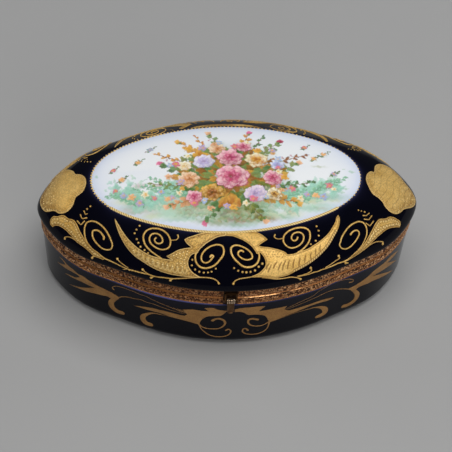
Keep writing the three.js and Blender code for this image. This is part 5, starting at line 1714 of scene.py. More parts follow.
# mossy bed of foliage along the lower side, pale at the ends and darker under the spray
for q in range(150):
    x = prg.uniform(-80, 74)
    k_ = 1 - min(1, abs(x + 2.7) / 80)
    y = -26 - 14 * k_ + prg.uniform(-7, 11)
    if room(x, y) < 4:
        continue
    c = [(0.36, 0.62, 0.48), (0.50, 0.70, 0.52), (0.62, 0.66, 0.36), (0.34, 0.56, 0.50), (0.55, 0.42, 0.34), (0.30, 0.44, 0.22)][q % 6]
    pt.wash(x, y, prg.uniform(6, 14), prg.uniform(1.5, 3.6), jit(c), 0.55 if q % 6 < 4 else 0.40)
for q in range(120):
    x = prg.normal(-2, 22)
    y = -30 + prg.uniform(-15, 13) + 0.006 * x * x
    if room(x, y) > 3:
        pt.wash(x, y, prg.uniform(3, 9), prg.uniform(1.2, 3.0), jit([(0.20, 0.28, 0.08), (0.34, 0.40, 0.14), (0.34, 0.15, 0.08), (0.16, 0.30, 0.16), (0.52, 0.36, 0.14)][q % 5]), 0.50)
for q in range(46):
    x = prg.normal(-1, 15)
    y = -31 + prg.uniform(-11, 9)
    if room(x, y) > 4:
        pt.wash(x, y, prg.uniform(3, 7), prg.uniform(1.0, 2.4), jit([(0.13, 0.17, 0.05), (0.20, 0.085, 0.04), (0.24, 0.26, 0.07)][q % 3]), 0.55)
for q in range(420):  # loose leaves and blades in the bed, darker under the spray
    x = prg.normal(-2, 34)
    y = -27 + prg.uniform(-17, 9) + 0.004 * x * x
    if room(x, y) < 2.5:
        continue
    mid_ = math.exp(-(x / 34) ** 2)
    ca = mixed((0.36, 0.64, 0.48), (0.13, 0.24, 0.07), mid_ * prg.uniform(0.3, 1.0))
    cb = mixed((0.55, 0.74, 0.56), [(0.36, 0.34, 0.09), (0.44, 0.17, 0.07), (0.20, 0.36, 0.16), (0.60, 0.42, 0.16)][q % 4], mid_ * prg.uniform(0.3, 1.0))
    pt.petal(x, y, prg.uniform(0.2, 2.9) if q % 3 else prg.uniform(-0.4, 0.4), prg.uniform(2.5, 6.5), prg.uniform(0.6, 1.5), jit(ca), jit(cb), 0.60, 0.9, 0.4, 0.15)
for sx in (-1, 1):  # trailing foliage to either side
    for q in range(44):
        x = sx * (26 + 1.25 * q) - 2.7 + prg.uniform(-2, 2)
        y = -19 + 6.5 * math.sin(q * 0.17 + (0.5 if sx < 0 else 2.1)) + prg.uniform(-5, 5) + 0.08 * q
        if room(x, y) < 6:
            continue
        for k_ in range(4):
            leaf(x + prg.uniform(-2, 2), y + prg.uniform(-2.5, 2.5), prg.uniform(0, 6.28), prg.uniform(4.0, 8.5), prg.uniform(1.2, 2.2), MINT, (0.40, 0.66, 0.54), 0.18, 0.50)
    for q in range(9):
        x = sx * (27 + 6.3 * q) - 2.7
        y = -17 + 7 * math.sin(q * 0.9 + sx)
        if room(x, y) > 8:
            sprig((x - sx * 5, y - 4), (x, y + 3), (x + sx * 8, y + 3 + prg.uniform(-3, 6)), 8, 5.0, 1.5, (0.20, 0.50, 0.34), (0.34, 0.58, 0.38), (0.16, 0.28, 0.16), 0.36)
    for q in range(11):
        x, y = sx * (28 + 5.0 * q) - 2.7 + prg.uniform(-2, 2), -18 + prg.uniform(-8, 7)
        if room(x, y) > 8:
            star(x, y, prg.uniform(2.2, 3.4), (ROSE, CREAM, LILAC, PEACH, BLUE)[(q + (sx > 0)) % 5], AMBER)
# soft shade under the spray
for q in range(60):
    a = prg.uniform(0, 6.28)
    pt.wash(-1 + math.cos(a) * prg.uniform(4, 34), -4 + math.sin(a) * prg.uniform(2, 24), prg.uniform(5, 11), prg.uniform(3, 7),
            jit([(0.30, 0.38, 0.18), (0.44, 0.28, 0.14), (0.24, 0.38, 0.24)][q % 3]), 0.30)
# main stems and leaves of the spray
for p0, p1, p2, n_, l, w_, ca, cb, br in (
        ((-8, -12), (-28, -4), (-46, 9), 14, 10.5, 3.2, SAGE, MOSS, None), ((6, -10), (27, -6), (46, 7), 14, 10.5, 3.2, SAGE, OLIVE, None),
        ((-5, 2), (-20, 16), (-33, 31), 13, 9.0, 2.8, RUST, AMBER, None), ((7, 2), (22, 15), (35, 30), 13, 9.0, 2.8, OLIVE, SAGE, CRIM),
        ((-1, 4), (-5, 20), (-12, 40), 12, 8.0, 2.5, OLIVE, SAGE, CRIM), ((2, 4), (9, 20), (15, 40), 12, 8.0, 2.5, RUST, AMBER, None),
        ((-10, -14), (-24, -24), (-42, -27), 12, 9.0, 2.8, RUST, PEACH, None), ((10, -14), (25, -25), (43, -26), 12, 9.0, 2.8, RUST, AMBER, None),
        ((-2, -14), (-8, -26), (-18, -40), 9, 8.6, 2.9, SAGE, MOSS, None), ((2, -14), (9, -26), (20, -39), 9, 8.6, 2.9, OLIVE, MOSS, None),
        ((-7, -3), (-30, 10), (-52, 21), 13, 6.8, 2.0, RUST, AMBER, CRIM), ((9, -3), (30, 9), (55, 18), 13, 6.8, 2.0, RUST, UMBER, CRIM),
        ((-4, 3), (-14, 20), (-23, 39), 11, 6.0, 1.9, AMBER, RUST, None), ((5, 3), (16, 19), (26, 38), 11, 6.0, 1.9, SAGE, MOSS, None),
        ((-8, -10), (-33, -14), (-56, -8), 12, 7.0, 2.1, OLIVE, SAGE, None), ((8, -10), (33, -15), (57, -9), 12, 7.0, 2.1, SAGE, MOSS, None)):
    sprig(p0, p1, p2, n_, l, w_, ca, cb, berries=br, thick=0.6)
for q in range(210):
    a = prg.uniform(0, 6.28)
    r_ = prg.uniform(6, 29)
    leaf(-1 + math.cos(a) * r_ * 1.2, -2 + math.sin(a) * r_ * 0.86, a + prg.uniform(-0.6, 0.6), prg.uniform(6, 11.5), prg.uniform(1.7, 3.3),
         (SAGE, MOSS, OLIVE, RUST, SAGE, UMBER, AMBER)[q % 7], (MOSS, OLIVE, SAGE, AMBER, OLIVE, RUST, RUST)[q % 7])
for x, y, r_, cols_ in ((-19, 12, 8.2, (LILAC, (0.60, 0.52, 0.78), (0.80, 0.78, 0.88))), (19.5, 13, 8.6, (RUST, AMBER, CREAM)),
                        (-30, -5, 8.6, (RUST, PEACH, (0.93, 0.66, 0.46))), (30, -5, 8.2, (CRIM, ROSE, BLUSH)), (-8, 25, 6.6, (RUST, PEACH, (0.92, 0.72, 0.50))),
                        (11, 27, 6.2, (CRIM, ROSE, BLUSH)), (0.5, 15.5, 9.6, (CRIM, ROSE, BLUSH)), (-14.5, -18, 8.8, (UMBER, RUST, AMBER)),
                        (16.5, -19, 8.4, (LILAC, (0.66, 0.48, 0.70), (0.86, 0.72, 0.82))), (-27, -21, 6.2, (CRIM, ROSE, BLUSH)), (30, -20, 6.0, (UMBER, AMBER, CREAM)),
                        (-33, 8, 5.6, (AMBER, CREAM, (0.93, 0.90, 0.78))), (34, 8, 5.6, (LILAC, BLUE, (0.74, 0.80, 0.90))), (0.5, -3.5, 13.4, (CRIM, ROSE, BLUSH))):
    bloom(x, y, r_, *cols_)
for q in range(30):
    a = q * 6.283 / 30 + prg.uniform(-0.1, 0.1)
    r_ = prg.uniform(28, 37)
    x, y = -0.5 + math.cos(a) * r_ * 1.22, 0 + math.sin(a) * r_ * 0.92
    if room(x, y) > 4:
        star(x, y, prg.uniform(2.2, 3.7), (CREAM, ROSE, BLUE, PEACH, LILAC, AMBER)[q % 6], (AMBER, AMBER, CREAM, UMBER, AMBER, RUST)[q % 6], 5 + q % 2)
for x, y, a_, col_ in ((-48, 10, 2.6, ROSE), (48, 9, 0.5, PEACH), (-35, 32, 2.2, AMBER), (37, 31, 1.0, CRIM), (-13, 41, 1.9, PEACH), (16, 41, 1.3, ROSE),
                       (-44, -28, 3.5, PEACH), (45, -27, -0.4, AMBER), (-19, -41, 4.2, ROSE), (21, -40, -1.0, PEACH)):
    for k_ in (-0.55, 0.5):
        pt.petal(x, y, a_ + k_, 3.4, 0.9, jit(SAGE), jit(OLIVE), 0.95, 0.8)
    for k_ in (-0.38, 0.34, 0.0):
        pt.petal(x + math.cos(a_) * 0.6, y + math.sin(a_) * 0.6, a_ + k_, 4.9, 1.35, jit(mixed(col_, UMBER, 0.35)), jit(tuple(min(1, c * 1.12 + 0.04) for c in col_)), 0.94, 0.45)
    pt.petal(x - math.cos(a_) * 0.8, y - math.sin(a_) * 0.8, a_, 2.6, 1.1, jit(MOSS), jit(SAGE), 0.95, 0.5)
# small scattered flowers out in the field
for x, y in ((-66, 14), (-78, -2), (62, 15), (75, 0), (-57, 27), (56, 27), (-84, 8), (70, 20)):
    if room(x, y) > 6:
        s_ = prg.uniform(-0.5, 0.5)
        sprig((x - 3.5, y - 2.5), (x, y + s_), (x + 3.5, y + 2.5), 6, 3.0, 1.0, SAGE, MOSS, thick=0.28)
        star(x, y, 2.3, (ROSE, BLUE, PEACH, LILAC)[int(abs(x)) % 4], AMBER)
# brush and firing: slight mottling of the painted colour
for q in range(260):  # last fine touches: dark accents between the petals and light flecks on them
    a, r_ = prg.uniform(0, 6.28), prg.uniform(2, 30)
    x, y = -1 + math.cos(a) * r_ * 1.2, -2 + math.sin(a) * r_ * 0.86
    e_ = prg.uniform(0, 6.28)
    c_ = pt.C[min(pt.C.shape[0] - 1, max(0, int((y - pt.y0) / pt.d))), min(pt.C.shape[1] - 1, max(0, int((x - pt.x0) / pt.d)))]
    t_ = tuple(c_ * 0.45) if q % 2 else tuple(np.clip(c_ * 1.1 + 0.10, 0, 1))
    pt.line([(x, y), (x + math.cos(e_) * 1.2, y + math.sin(e_) * 1.2)], 0.20, 0.06, t_, 0.55)
mott = sum(np.sin(X * fx + ph) * np.sin(Y * fy + ph * 1.7) for fx, fy, ph in ((1.1, 1.7, 0.3), (2.3, 1.3, 1.9), (3.7, 4.1, 0.8), (0.7, 5.3, 2.2))) / 4
dark = 1 - np.clip(pt.C.mean(-1) / 0.8, 0, 1)
pt.C = np.clip(pt.C * (1 + 0.10 * mott * dark)[..., None], 0.004, 0.90)
v, f, e = contour(PR + NR * SKIN, NR, FRc, HR, 0.10, False, pt.C)
make("painted_reserve", v, f, "lid", m_paint, attrs={"paint": e})

# ================================================================ rims
NB_ = 2000
t_band, len_band = even_angles(NB_, lambda a: at(BAND_PROUD, 55.0, a))
s_band = np.arange(NB_) * len_band / NB_


def rough(s, y, seed, scale):
    g = np.random.default_rng(seed)
    out = np.zeros(np.broadcast(s, y).shape)
    for _ in range(14):
        k_ = round(len_band / (scale * g.uniform(0.6, 2.2)))
        out = out + np.sin(2 * np.pi * k_ * s / len_band + y * g.uniform(-3, 3) / scale + g.uniform(0, 6.28))
    return out / math.sqrt(14)


def whole(period):
    return len_band / round(len_band / period)


def speckle(y, seed):
    """Random brightness in hammered cells about 0.7 mm wide, in seven rows over the strip."""
    def row(r_):
        g = np.random.default_rng(int(seed * 131 + r_ + 40))
        n_ = int(round(len_band / 0.70))
        table = g.uniform(0, 1, n_)
        k_ = (s_band / len_band * n_ + g.uniform(0, 1)) % n_
        i_ = k_.astype(int)
        f_ = k_ - i_
        f_ = np.clip((f_ - 0.5) * 2.2 + 0.5, 0, 1)
        return table[i_ % n_] * (1 - f_) + table[(i_ + 1) % n_] * f_
    q = (y + 1) * 3.4
    r0 = math.floor(q)
    w_ = q - r0
    w_ = min(1.0, max(0.0, (w_ - 0.5) * 2.2 + 0.5))
    return row(r0) * (1 - w_) + row(r0 + 1) * w_


def engraved(s, y, seed):
    """Zig-zag of short ribs crossed by finer cuts; y runs -1..1 over the strip. Height 0..1."""
    p1, p2, p3 = whole(2.7), whole(1.35), whole(1.02)
    zig = s / p1 + 0.42 * np.abs(y) + 0.05 * rough(s, y, seed, 5)
    rib = np.abs(np.sin(np.pi * zig)) ** 0.7
    cut = 0.5 + 0.5 * np.cos(2 * np.pi * (s / p2 - 1.15 * y))
    fine = 0.5 + 0.5 * np.cos(2 * np.pi * (s / p3 + 1.6 * y))
    g = np.random.default_rng(int(seed + 1000 + 997 * (y + 1)))
    grain = g.uniform(-1, 1, NB_)
    grain = 0.6 * grain + 0.25 * (np.roll(grain, 1) + np.roll(grain, -1))
    h = 0.16 * rib + 0.09 * cut + 0.08 * fine + 0.30 * grain + 1.60 * (speckle(y, seed) - 0.5) + 0.34
    return np.clip(h, 0, 1)


def flatten(t, z):
    """1 where the hinge, the bracket or the catch lies on the rim."""
    x, y = plan(t)
    back = (y > 0) * np.clip((13.2 - np.abs(x)) / 0.8, 0, 1)
    front = (y < 0) * np.clip((5.4 - np.abs(x - HASP_X)) / 0.6, 0, 1)
    return np.maximum(back, front)


def rim(name, z_edge, z_part, seed, ledge, lip_z, replaces, body):
    """z_edge is the height against the porcelain, z_part against the parting; ledge is the inner edge's offset."""
    up = 1 if z_part > z_edge else -1
    height = abs(z_part - z_edge)
    d = np.concatenate([[0.0, 0.08, 0.2, 0.35, 0.5, 0.65, 0.8, 0.95], np.arange(1.10, height - 1.25, 0.235), height - np.array([1.18, 1.05, 0.92, 0.78, 0.62, 0.48, 0.34, 0.22, 0.12, 0.04, 0.0])])
    flat = flatten(t_band, 0)
    # painted shade: the bright rubbed specks of the engraving are dimmed along the front left
    left_front_shade_factor = 1 - 0.62 * np.exp(-((plan(t_band)[0] + 34) / 58) ** 4) * (plan(t_band)[1] < 0)
    rows_, tn_ = [], []
    for q in d:
        if q <= 0.95:  # plain fillet
            off = 0.30 + 0.28 * math.sin(math.pi * min(1, q / 0.8)) if q < 0.8 else 0.22
            off = np.full(NB_, off)
            cut, rub_and_highlight = np.full(NB_, 0.45 if q >= 0.65 else 0.1), np.full(NB_, 0.4 if 0.15 < q < 0.6 else 0.0)
        elif q < height - 1.22:
            y = 2 * (q - 1.1) / (height - 1.25 - 1.1) - 1
            h = engraved(s_band, y, seed)
            round_ = math.sqrt(max(0.0, 1 - (abs(y) ** 3) * 0.55))
            off = 0.18 + 0.20 * round_ + 0.42 * h * round_
            cut, rub_and_highlight = 0.92 * np.clip((0.54 - h) / 0.36, 0, 1), np.clip((h - 0.74) / 0.20, 0, 1) ** 1.2 * left_front_shade_factor
        elif q <= height - 0.91:
            off, cut, rub_and_highlight = np.full(NB_, 0.12), np.full(NB_, 0.95), np.zeros(NB_)
        else:  # polished half-round at the parting
            k_ = (height - q) / 0.92
            if up > 0:  # the base's moulding has a bevel toward the parting, smoothed beside the clasp, where it carries a painted highlight broken by a painted dark stretch
                off = np.full(NB_, 0.64 - 0.50 * max(0.0, 1 - k_ / 0.50) - 0.30 * max(0.0, (k_ - 0.88) / 0.12))
                x_ = plan(t_band)[0]
                near = (np.exp(-((x_ - 19.5) / 12.5) ** 6) + 0.55 * np.exp(-((x_ - 46) / 6.5) ** 4)) * (plan(t_band)[1] < 0)
                painted_dark_break = np.exp(-((x_ - 36) / 4.2) ** 4) * (plan(t_band)[1] < 0)
                cut, rub_and_highlight = np.maximum(0.75 if k_ > 0.9 else 0.05, 0.85 * painted_dark_break), (0.20 + 0.80 * near) * (1 - painted_dark_break) * (1.0 if k_ < 0.62 else 0.3)
            else:
                off = np.full(NB_, 0.14 + 0.50 * math.sin(math.pi * min(1, max(0, 0.06 + 0.94 * k_))) ** 0.8)
                cut, rub_and_highlight = np.full(NB_, 0.9 if k_ < 0.35 or k_ > 0.9 else 0.1), np.full(NB_, 0.45 if 0.4 < k_ < 0.8 else 0.0)
        off = np.where(flat > 0, off * (1 - flat) + np.minimum(off, 0.5) * flat, off)
        cut = np.maximum(cut, 0.8 * flat * (plan(t_band)[1] < 0))
        rub_and_highlight = rub_and_highlight * (1 - flat)
        rows_.append(at(off, z_edge + up * q, t_band))
        # painted glints: a pale colour on the moulding's bevel beside the clasp and on the highest specks of the
        # engraving
        if up > 0 and q > height - 0.91:
            painted_glint = 0.85 * near * (0.24 < k_ < 0.50)
        elif 0.95 < q < height - 1.22:
            painted_glint = 0.30 * np.clip((h - 0.90) / 0.10, 0, 1) * left_front_shade_factor
        else:
            painted_glint = 0 * cut
        tn_.append(np.stack([cut, rub_and_highlight, painted_glint], -1))
    plain = np.zeros((NB_, 3))
    plain[:, 0] = 0.25
    outer = (rows_, tn_)
    inner = []
    for off, z in ((ledge + 0.25, z_part), (ledge, z_part - up * 0.25), (ledge, z_part - up * (LEDGE - 0.25)), (ledge + 0.25, z_part - up * LEDGE),
                   (BAND_IN - 0.1, z_part - up * LEDGE), (BAND_IN, z_part - up * (LEDGE + 0.1)), (BAND_IN, z_edge)):
        inner.append(at(off, z, t_band))
    order = rows_ + inner
    tn = tn_ + [plain] * len(inner)
    if up > 0:  # rows must run downward on the outside
        order, tn = order[::-1], tn[::-1]
    v, f, _t = loft(order, wrap=True)
    return make(name, v, f, body, m_rim, replaces=replaces, attrs={"tone": np.concatenate(tn)}, sharp=70)


rim("base_rim", BAND_BOTTOM, BASE_BAND_TOP, 31, BASE_LEDGE_IN, 0, ["base_rim_band"], "base")
rim("lid_rim", LID_BAND_TOP, LID_BAND_BOTTOM, 57, LID_LEDGE_IN, 0, ["lid_rim_band"], "lid")


def rim_beads(name, z, off, spacing, radius, body, t_skip):
    n_ = int(round(len_band / spacing))
    ta = np.interp(np.arange(n_) * len_band / n_, np.concatenate([s_band, [len_band]]), np.concatenate([t_band, [np.pi]]))
    ta = ta[~t_skip(ta)]
    p = at(off, z, ta)
    x1, y1 = plan(ta + 1e-4, off)
    x0, y0 = plan(ta - 1e-4, off)
    tan = unit(np.stack([x1 - x0, y1 - y0, 0 * x0], -1))
    up = np.tile([0.0, 0.0, 1.0], (len(ta), 1))
    nn = np.cross(tan, up)
    r = radius * rng.uniform(0.9, 1.08, len(ta))
    v, f = bead_mesh(p, nn, tan, up, r, 0.8, seg=8, rings=3, sink=0.5)
    t_ = np.zeros((len(v), 3))
    t_[:, 1] = np.repeat(rng.uniform(0.2, 0.9, len(ta)), len(v) // len(ta))
    make(name, v, f, body, m_rim, attrs={"tone": t_})


def under_fittings(ta):
    x, y = plan(ta)
    return ((y > 0) & (np.abs(x) < 13.2)) | ((y < 0) & (np.abs(x - HASP_X) < 5.6))


rim_beads("base_rim_beads", BAND_BOTTOM + 0.62, 0.42, 1.22, 0.52, "base", under_fittings)
rim_beads("lid_rim_beads", LID_BAND_TOP - 0.50, 0.40, 0.98, 0.40, "lid", under_fittings)

# guide lip inside the base's rim
t_lip, _l = even_angles(900, lambda a: at(LIP_OUT, 58.0, a))
ring("base_guide_lip", [(LIP_OUT, LIP_BOTTOM + 0.15), (LIP_OUT, LIP_TOP - 0.5), (LIP_OUT - 0.12, LIP_TOP - 0.16), (LIP_OUT - 0.4, LIP_TOP), (LIP_IN + 0.4, LIP_TOP),
                        (LIP_IN + 0.12, LIP_TOP - 0.16), (LIP_IN, LIP_TOP - 0.5), (LIP_IN, LIP_BOTTOM + 0.15), (LIP_IN + 0.2, LIP_BOTTOM), (LIP_OUT - 0.2, LIP_BOTTOM)],
     "base", m_smooth, "rim_gilt", ["base_inner_lip"], angles=t_lip)


# ================================================================ fittings
def from_bm(bm):
    bm.verts.ensure_lookup_table()
    v = np.array([x.co[:] for x in bm.verts])
    f = [[x.index for x in face.verts] for face in bm.faces]
    bm.free()
    return v, f


def block(x0, x1, y0, y1, z0, z1, r=0.15, seg=2):
    bm = bmesh.new()
    bmesh.ops.create_cube(bm, size=1)
    for q in bm.verts:
        q.co = Vector(((x0 + x1) / 2 + q.co.x * (x1 - x0), (y0 + y1) / 2 + q.co.y * (y1 - y0), (z0 + z1) / 2 + q.co.z * (z1 - z0)))
    bmesh.ops.bevel(bm, geom=bm.edges[:], offset=r, segments=seg, profile=0.6, affect="EDGES")
    return from_bm(bm)


def plate(outline, lo, hi, plane, r=0.15, seg=2):
    """outline in (y, z) for plane "x" or (x, z) for plane "y", thickness lo..hi along the other axis."""
    bm = bmesh.new()
    P3 = (lambda a, b_, c: Vector((c, a, b_))) if plane == "x" else (lambda a, b_, c: Vector((a, c, b_)))
    low = [bm.verts.new(P3(a, b_, lo)) for a, b_ in outline]
    high = [bm.verts.new(P3(a, b_, hi)) for a, b_ in outline]
    n_ = len(outline)
    bm.faces.new(low)
    bm.faces.new(high[::-1])
    for q in range(n_):
        bm.faces.new([low[q], high[q], high[(q + 1) % n_], low[(q + 1) % n_]])
    bmesh.ops.recalc_face_normals(bm, faces=bm.faces[:])
    rims = [e_ for e_ in bm.edges if (e_.verts[0] in low) == (e_.verts[1] in low)]
    bmesh.ops.bevel(bm, geom=rims, offset=r, segments=seg, profile=0.6, affect="EDGES")
    return from_bm(bm)


def turned(profile, axis, c, seg=40):
    """Solid of revolution: (along, radius) pairs; axis "x" or "y"; c is the centre line's other two coordinates."""
    prof = [(a, max(r_, 1e-4)) for a, r_ in profile]
    a = np.arange(seg) * 2 * np.pi / seg
    v, f = [], []
    for s_, r_ in prof:
        for q in a:
            w, h = c[0] + r_ * math.cos(q), c[1] + r_ * math.sin(q)
            v.append((s_, w, h) if axis == "x" else (w, s_, h))
    for i_ in range(len(prof) - 1):
        for j_ in range(seg):
            k_ = (j_ + 1) % seg
            q = [i_ * seg + j_, i_ * seg + k_, (i_ + 1) * seg + k_, (i_ + 1) * seg + j_]
            f.append(q if axis == "y" else q[::-1])
    f.append(list(range(seg))[::-1] if axis == "y" else list(range(seg)))
    e_ = [(len(prof) - 1) * seg + j_ for j_ in range(seg)]
    f.append(e_ if axis == "y" else e_[::-1])
    return np.array(v, float), f


def tube(r_out, r_in, x0, x1, y, z, seg=40, r=0.15):
    """Knuckle with a bore, edges eased."""
    prof = [(x0, r_in), (x0, r_out - r), (x0 + r * 0.3, r_out - r * 0.3), (x0 + r, r_out), (x1 - r, r_out), (x1 - r * 0.3, r_out - r * 0.3), (x1, r_out - r), (x1, r_in)]
    a = np.arange(seg) * 2 * np.pi / seg
    v = [(s_, y + r_ * math.cos(q), z + r_ * math.sin(q)) for s_, r_ in prof for q in a]
    f = []
    m_ = len(prof)
    for i_ in range(m_):
        i1 = (i_ + 1) % m_
        for j_ in range(seg):
            k_ = (j_ + 1) % seg
            f.append([i_ * seg + j_, i1 * seg + j_, i1 * seg + k_, i_ * seg + k_])
    return np.array(v, float), f


def fitting(name, parts, body, mat, replaces, tone_of=None, sharp=38):
    vs, fs, n_ = [], [], 0
    for v, f in parts:
        vs.append(v)
        fs += [[i_ + n_ for i_ in q] for q in f]
        n_ += len(v)
    v = np.concatenate(vs)
    me_v = v
    tn = np.zeros((len(v), 3)) if tone_of is None else tone_of(v)
    ob = make(name, me_v, [fs], body, mat, replaces=replaces, sharp=sharp, attrs={"tone": tn})
    bm = bmesh.new()
    bm.from_mesh(ob.data)
    bmesh.ops.recalc_face_normals(bm, faces=bm.faces[:])
    bm.to_mesh(ob.data)
    bm.free()
    return ob


def worn(v, p=0.6):
    t_ = np.zeros((len(v), 3))
    t_[:, 1] = np.clip(0.5 + 0.5 * np.sin(v[:, 0] * 3.1 + v[:, 2] * 2.3) * np.sin(v[:, 1] * 2.7), 0, 1) * p
    return t_


# darkens the whole piece evenly, with a little random wear
def darkened_all_over(v, p=0.1, dark=0.6):
    t_ = worn(v, p)
    t_[:, 0] = dark
    return t_


# hinge
base_knuckles = [(-HINGE_HALF, -7.45), (-2.45, 2.45), (7.45, HINGE_HALF)]
lid_knuckles = [(-7.15, -2.75), (2.75, 7.15)]
for name, ks, sign, body, rep in (("hinge_base_half", base_knuckles, -1, "base", "hinge_leaf_base"), ("hinge_lid_half", lid_knuckles, 1, "lid", "hinge_leaf_lid")):
    near, far = PARTING_Z + sign * 0.45, PARTING_Z + sign * (0.45 + LEAF_REACH)
    z0, z1 = min(near, far), max(near, far)
    c = 1.3
    out = [(-HINGE_HALF, near), (-HINGE_HALF, far - sign * c), (-HINGE_HALF + 0.4, far - sign * 0.4), (-HINGE_HALF + c, far), (HINGE_HALF - c, far),
           (HINGE_HALF - 0.4, far - sign * 0.4), (HINGE_HALF, far - sign * c), (HINGE_HALF, near)]
    parts = [plate(out, LEAF_Y0, LEAF_Y1, "y", 0.14)]
    for a0, a1 in ks:
        parts.append(tube(KNUCKLE_R, 1.3, a0, a1, HINGE_Y, PARTING_Z))
        za, zb_ = sorted((near, PARTING_Z + sign * 1.9))
        parts.append(block(a0 + 0.02, a1 - 0.02, LEAF_Y1 - 0.2, HINGE_Y - 0.9, za, zb_, 0.12))
    fitting(name, parts, body, m_smooth, [rep], lambda v: worn(v, 0.5))
pe = HINGE_HALF + GAP
fitting("hinge_pin_turned", [turned([(-pe - 1.1, 0), (-pe - 1.05, 0.55), (-pe - 0.85, 1.05), (-pe - 0.5, 1.45), (-pe - 0.12, 1.66), (-pe, 1.6), (-pe, 1.0), (pe, 1.0),
                                     (pe, 1.6), (pe + 0.12, 1.66), (pe + 0.5, 1.45), (pe + 0.85, 1.05), (pe + 1.05, 0.55), (pe + 1.1, 0)], "x", (HINGE_Y, PARTING_Z))],
        "base", m_steel, ["hinge_pin"])
for tag, sx in (("left", -1), ("right", 1)):
    for part, sz in (("base", -1), ("lid", 1)):
        fitting(f"rivet_{part}_{tag}", [turned([(77.75, 0), (77.75, 0.62), (77.85, 0.7), (LEAF_Y1 + GAP, 0.7), (LEAF_Y1 + GAP, 1.3), (LEAF_Y1 + GAP + 0.1, 1.4), (LEAF_Y1 + GAP + 0.35, 1.28),
                                                (LEAF_Y1 + GAP + 0.6, 1.0), (LEAF_Y1 + GAP + 0.8, 0.58), (LEAF_Y1 + GAP + 0.9, 0)], "y", (sx * RIVET_X, PARTING_Z + sz * 4.9), 28)],
                part, m_hasp, [f"hinge_rivet_{part}_{tag}"], lambda v: worn(v, 0.8))

# hasp: bracket with two ears on the lid's rim
nose = [(HASP_Y + 1.9 * math.cos(a), HASP_Z + 1.9 * math.sin(a)) for a in np.radians(np.arange(250, 109, -10))]
ear = [(-79.5, 59.3)] + nose + [(-80.9, 65.9), (-79.5, 65.9)]
xa, xb = HASP_X - 4.6, HASP_X + 4.6
fitting("hasp_mount", [block(xa, xb, -80.6, -79.5, 63.5, 65.9, 0.18), plate(ear, xa, xa + 1.2, "x", 0.16), plate(ear, xb - 1.2, xb, "x", 0.16)],
        "lid", m_hasp, ["hasp_bracket"], lambda v: darkened_all_over(v, 0.12, 0.62))
hp = 4.6 + GAP
fitting("hasp_cross_pin", [turned([(HASP_X - hp - 0.7, 0), (HASP_X - hp - 0.66, 0.5), (HASP_X - hp - 0.45, 0.95), (HASP_X - hp - 0.1, 1.3), (HASP_X - hp, 1.3), (HASP_X - hp, 0.8), (HASP_X + hp, 0.8),
                                   (HASP_X + hp, 1.3), (HASP_X + hp + 0.1, 1.3), (HASP_X + hp + 0.45, 0.95), (HASP_X + hp + 0.66, 0.5), (HASP_X + hp + 0.7, 0)], "x", (HASP_Y, HASP_Z), 28)],
        "lid", m_hasp, ["hasp_pin"], lambda v: darkened_all_over(v, 0.25, 0.4))
# tongue: turned barrel of five reeds, and the strap that drops over the catch
prof = [(-BARREL_HALF, 1.12)]
for i_ in range(0, 81):
    a = -BARREL_HALF + i_ * 2 * BARREL_HALF / 80
    g = abs(math.cos(math.pi * 5 * (a + BARREL_HALF) / (2 * BARREL_HALF)))
    prof.append((a, BARREL_R - 0.42 * g ** 3 - (0.12 if i_ in (0, 80) else 0)))
prof.append((BARREL_HALF, 1.12))
barrel_v, barrel_f = [], []
seg = 48
ang = np.arange(seg) * 2 * np.pi / seg
for a, r_ in prof:
    for q in ang:
        barrel_v.append((HASP_X + a, HASP_Y + r_ * math.cos(q), HASP_Z + r_ * math.sin(q)))
m_ = len(prof)
for i_ in range(m_):
    i1 = (i_ + 1) % m_
    for j_ in range(seg):
        k_ = (j_ + 1) % seg
        barrel_f.append([i_ * seg + j_, i1 * seg + j_, i1 * seg + k_, i_ * seg + k_])
TH, TZ = 2.5, 46.8


def strap_wear_and_highlight(v):
    """The upper side of the reeded barrel carries a painted highlight and pale painted glints on the reeds, with
    painted shade in the grooves between them; the strap below is darker bronze with a little random wear.
    """
    t_ = worn(v, 0.22)
    reed = np.abs(np.cos(np.pi * 5 * (v[:, 0] - HASP_X + BARREL_HALF) / (2 * BARREL_HALF))) ** 3
    top = np.clip((v[:, 2] - (HASP_Z - 1.2)) / 0.8, 0, 1)
    t_[:, 0] = 0.35 * (1 - top) + 0.95 * top * reed
    t_[:, 1] = t_[:, 1] * (1 - top) + 0.95 * top * (1 - reed)
    t_[:, 2] = 0.75 * top * np.clip(1 - 1.6 * reed, 0, 1)
    return t_


strap = [(HASP_X - TH, HASP_Z - 1.6), (HASP_X - TH, TZ + 3.2)] + [(HASP_X - TH * math.cos(a), TZ + 3.2 - 3.2 * math.sin(a)) for a in np.radians(np.arange(12, 180, 12))] + [(HASP_X + TH, TZ + 3.2), (HASP_X + TH, HASP_Z - 1.6)]
fitting("hasp_strap", [(np.array(barrel_v), barrel_f), plate(strap, -84.0, -82.9, "y", 0.22, 3),
                       turned([(HASP_X - 1.62, 0), (HASP_X - 1.6, 0.3), (HASP_X - 1.45, 0.52), (HASP_X - 1.2, 0.6), (HASP_X + 1.2, 0.6), (HASP_X + 1.45, 0.52), (HASP_X + 1.6, 0.3), (HASP_X + 1.62, 0)], "x", (-84.1, TZ + 1.35), 20),
                       turned([(HASP_X - 1.9, 0), (HASP_X - 1.85, 0.22), (HASP_X - 1.6, 0.32), (HASP_X + 1.6, 0.32), (HASP_X + 1.85, 0.22), (HASP_X + 1.9, 0)], "x", (-83.95, HASP_Z - 3.3), 16)],
        "hasp", m_hasp, ["hasp_tongue"], strap_wear_and_highlight)
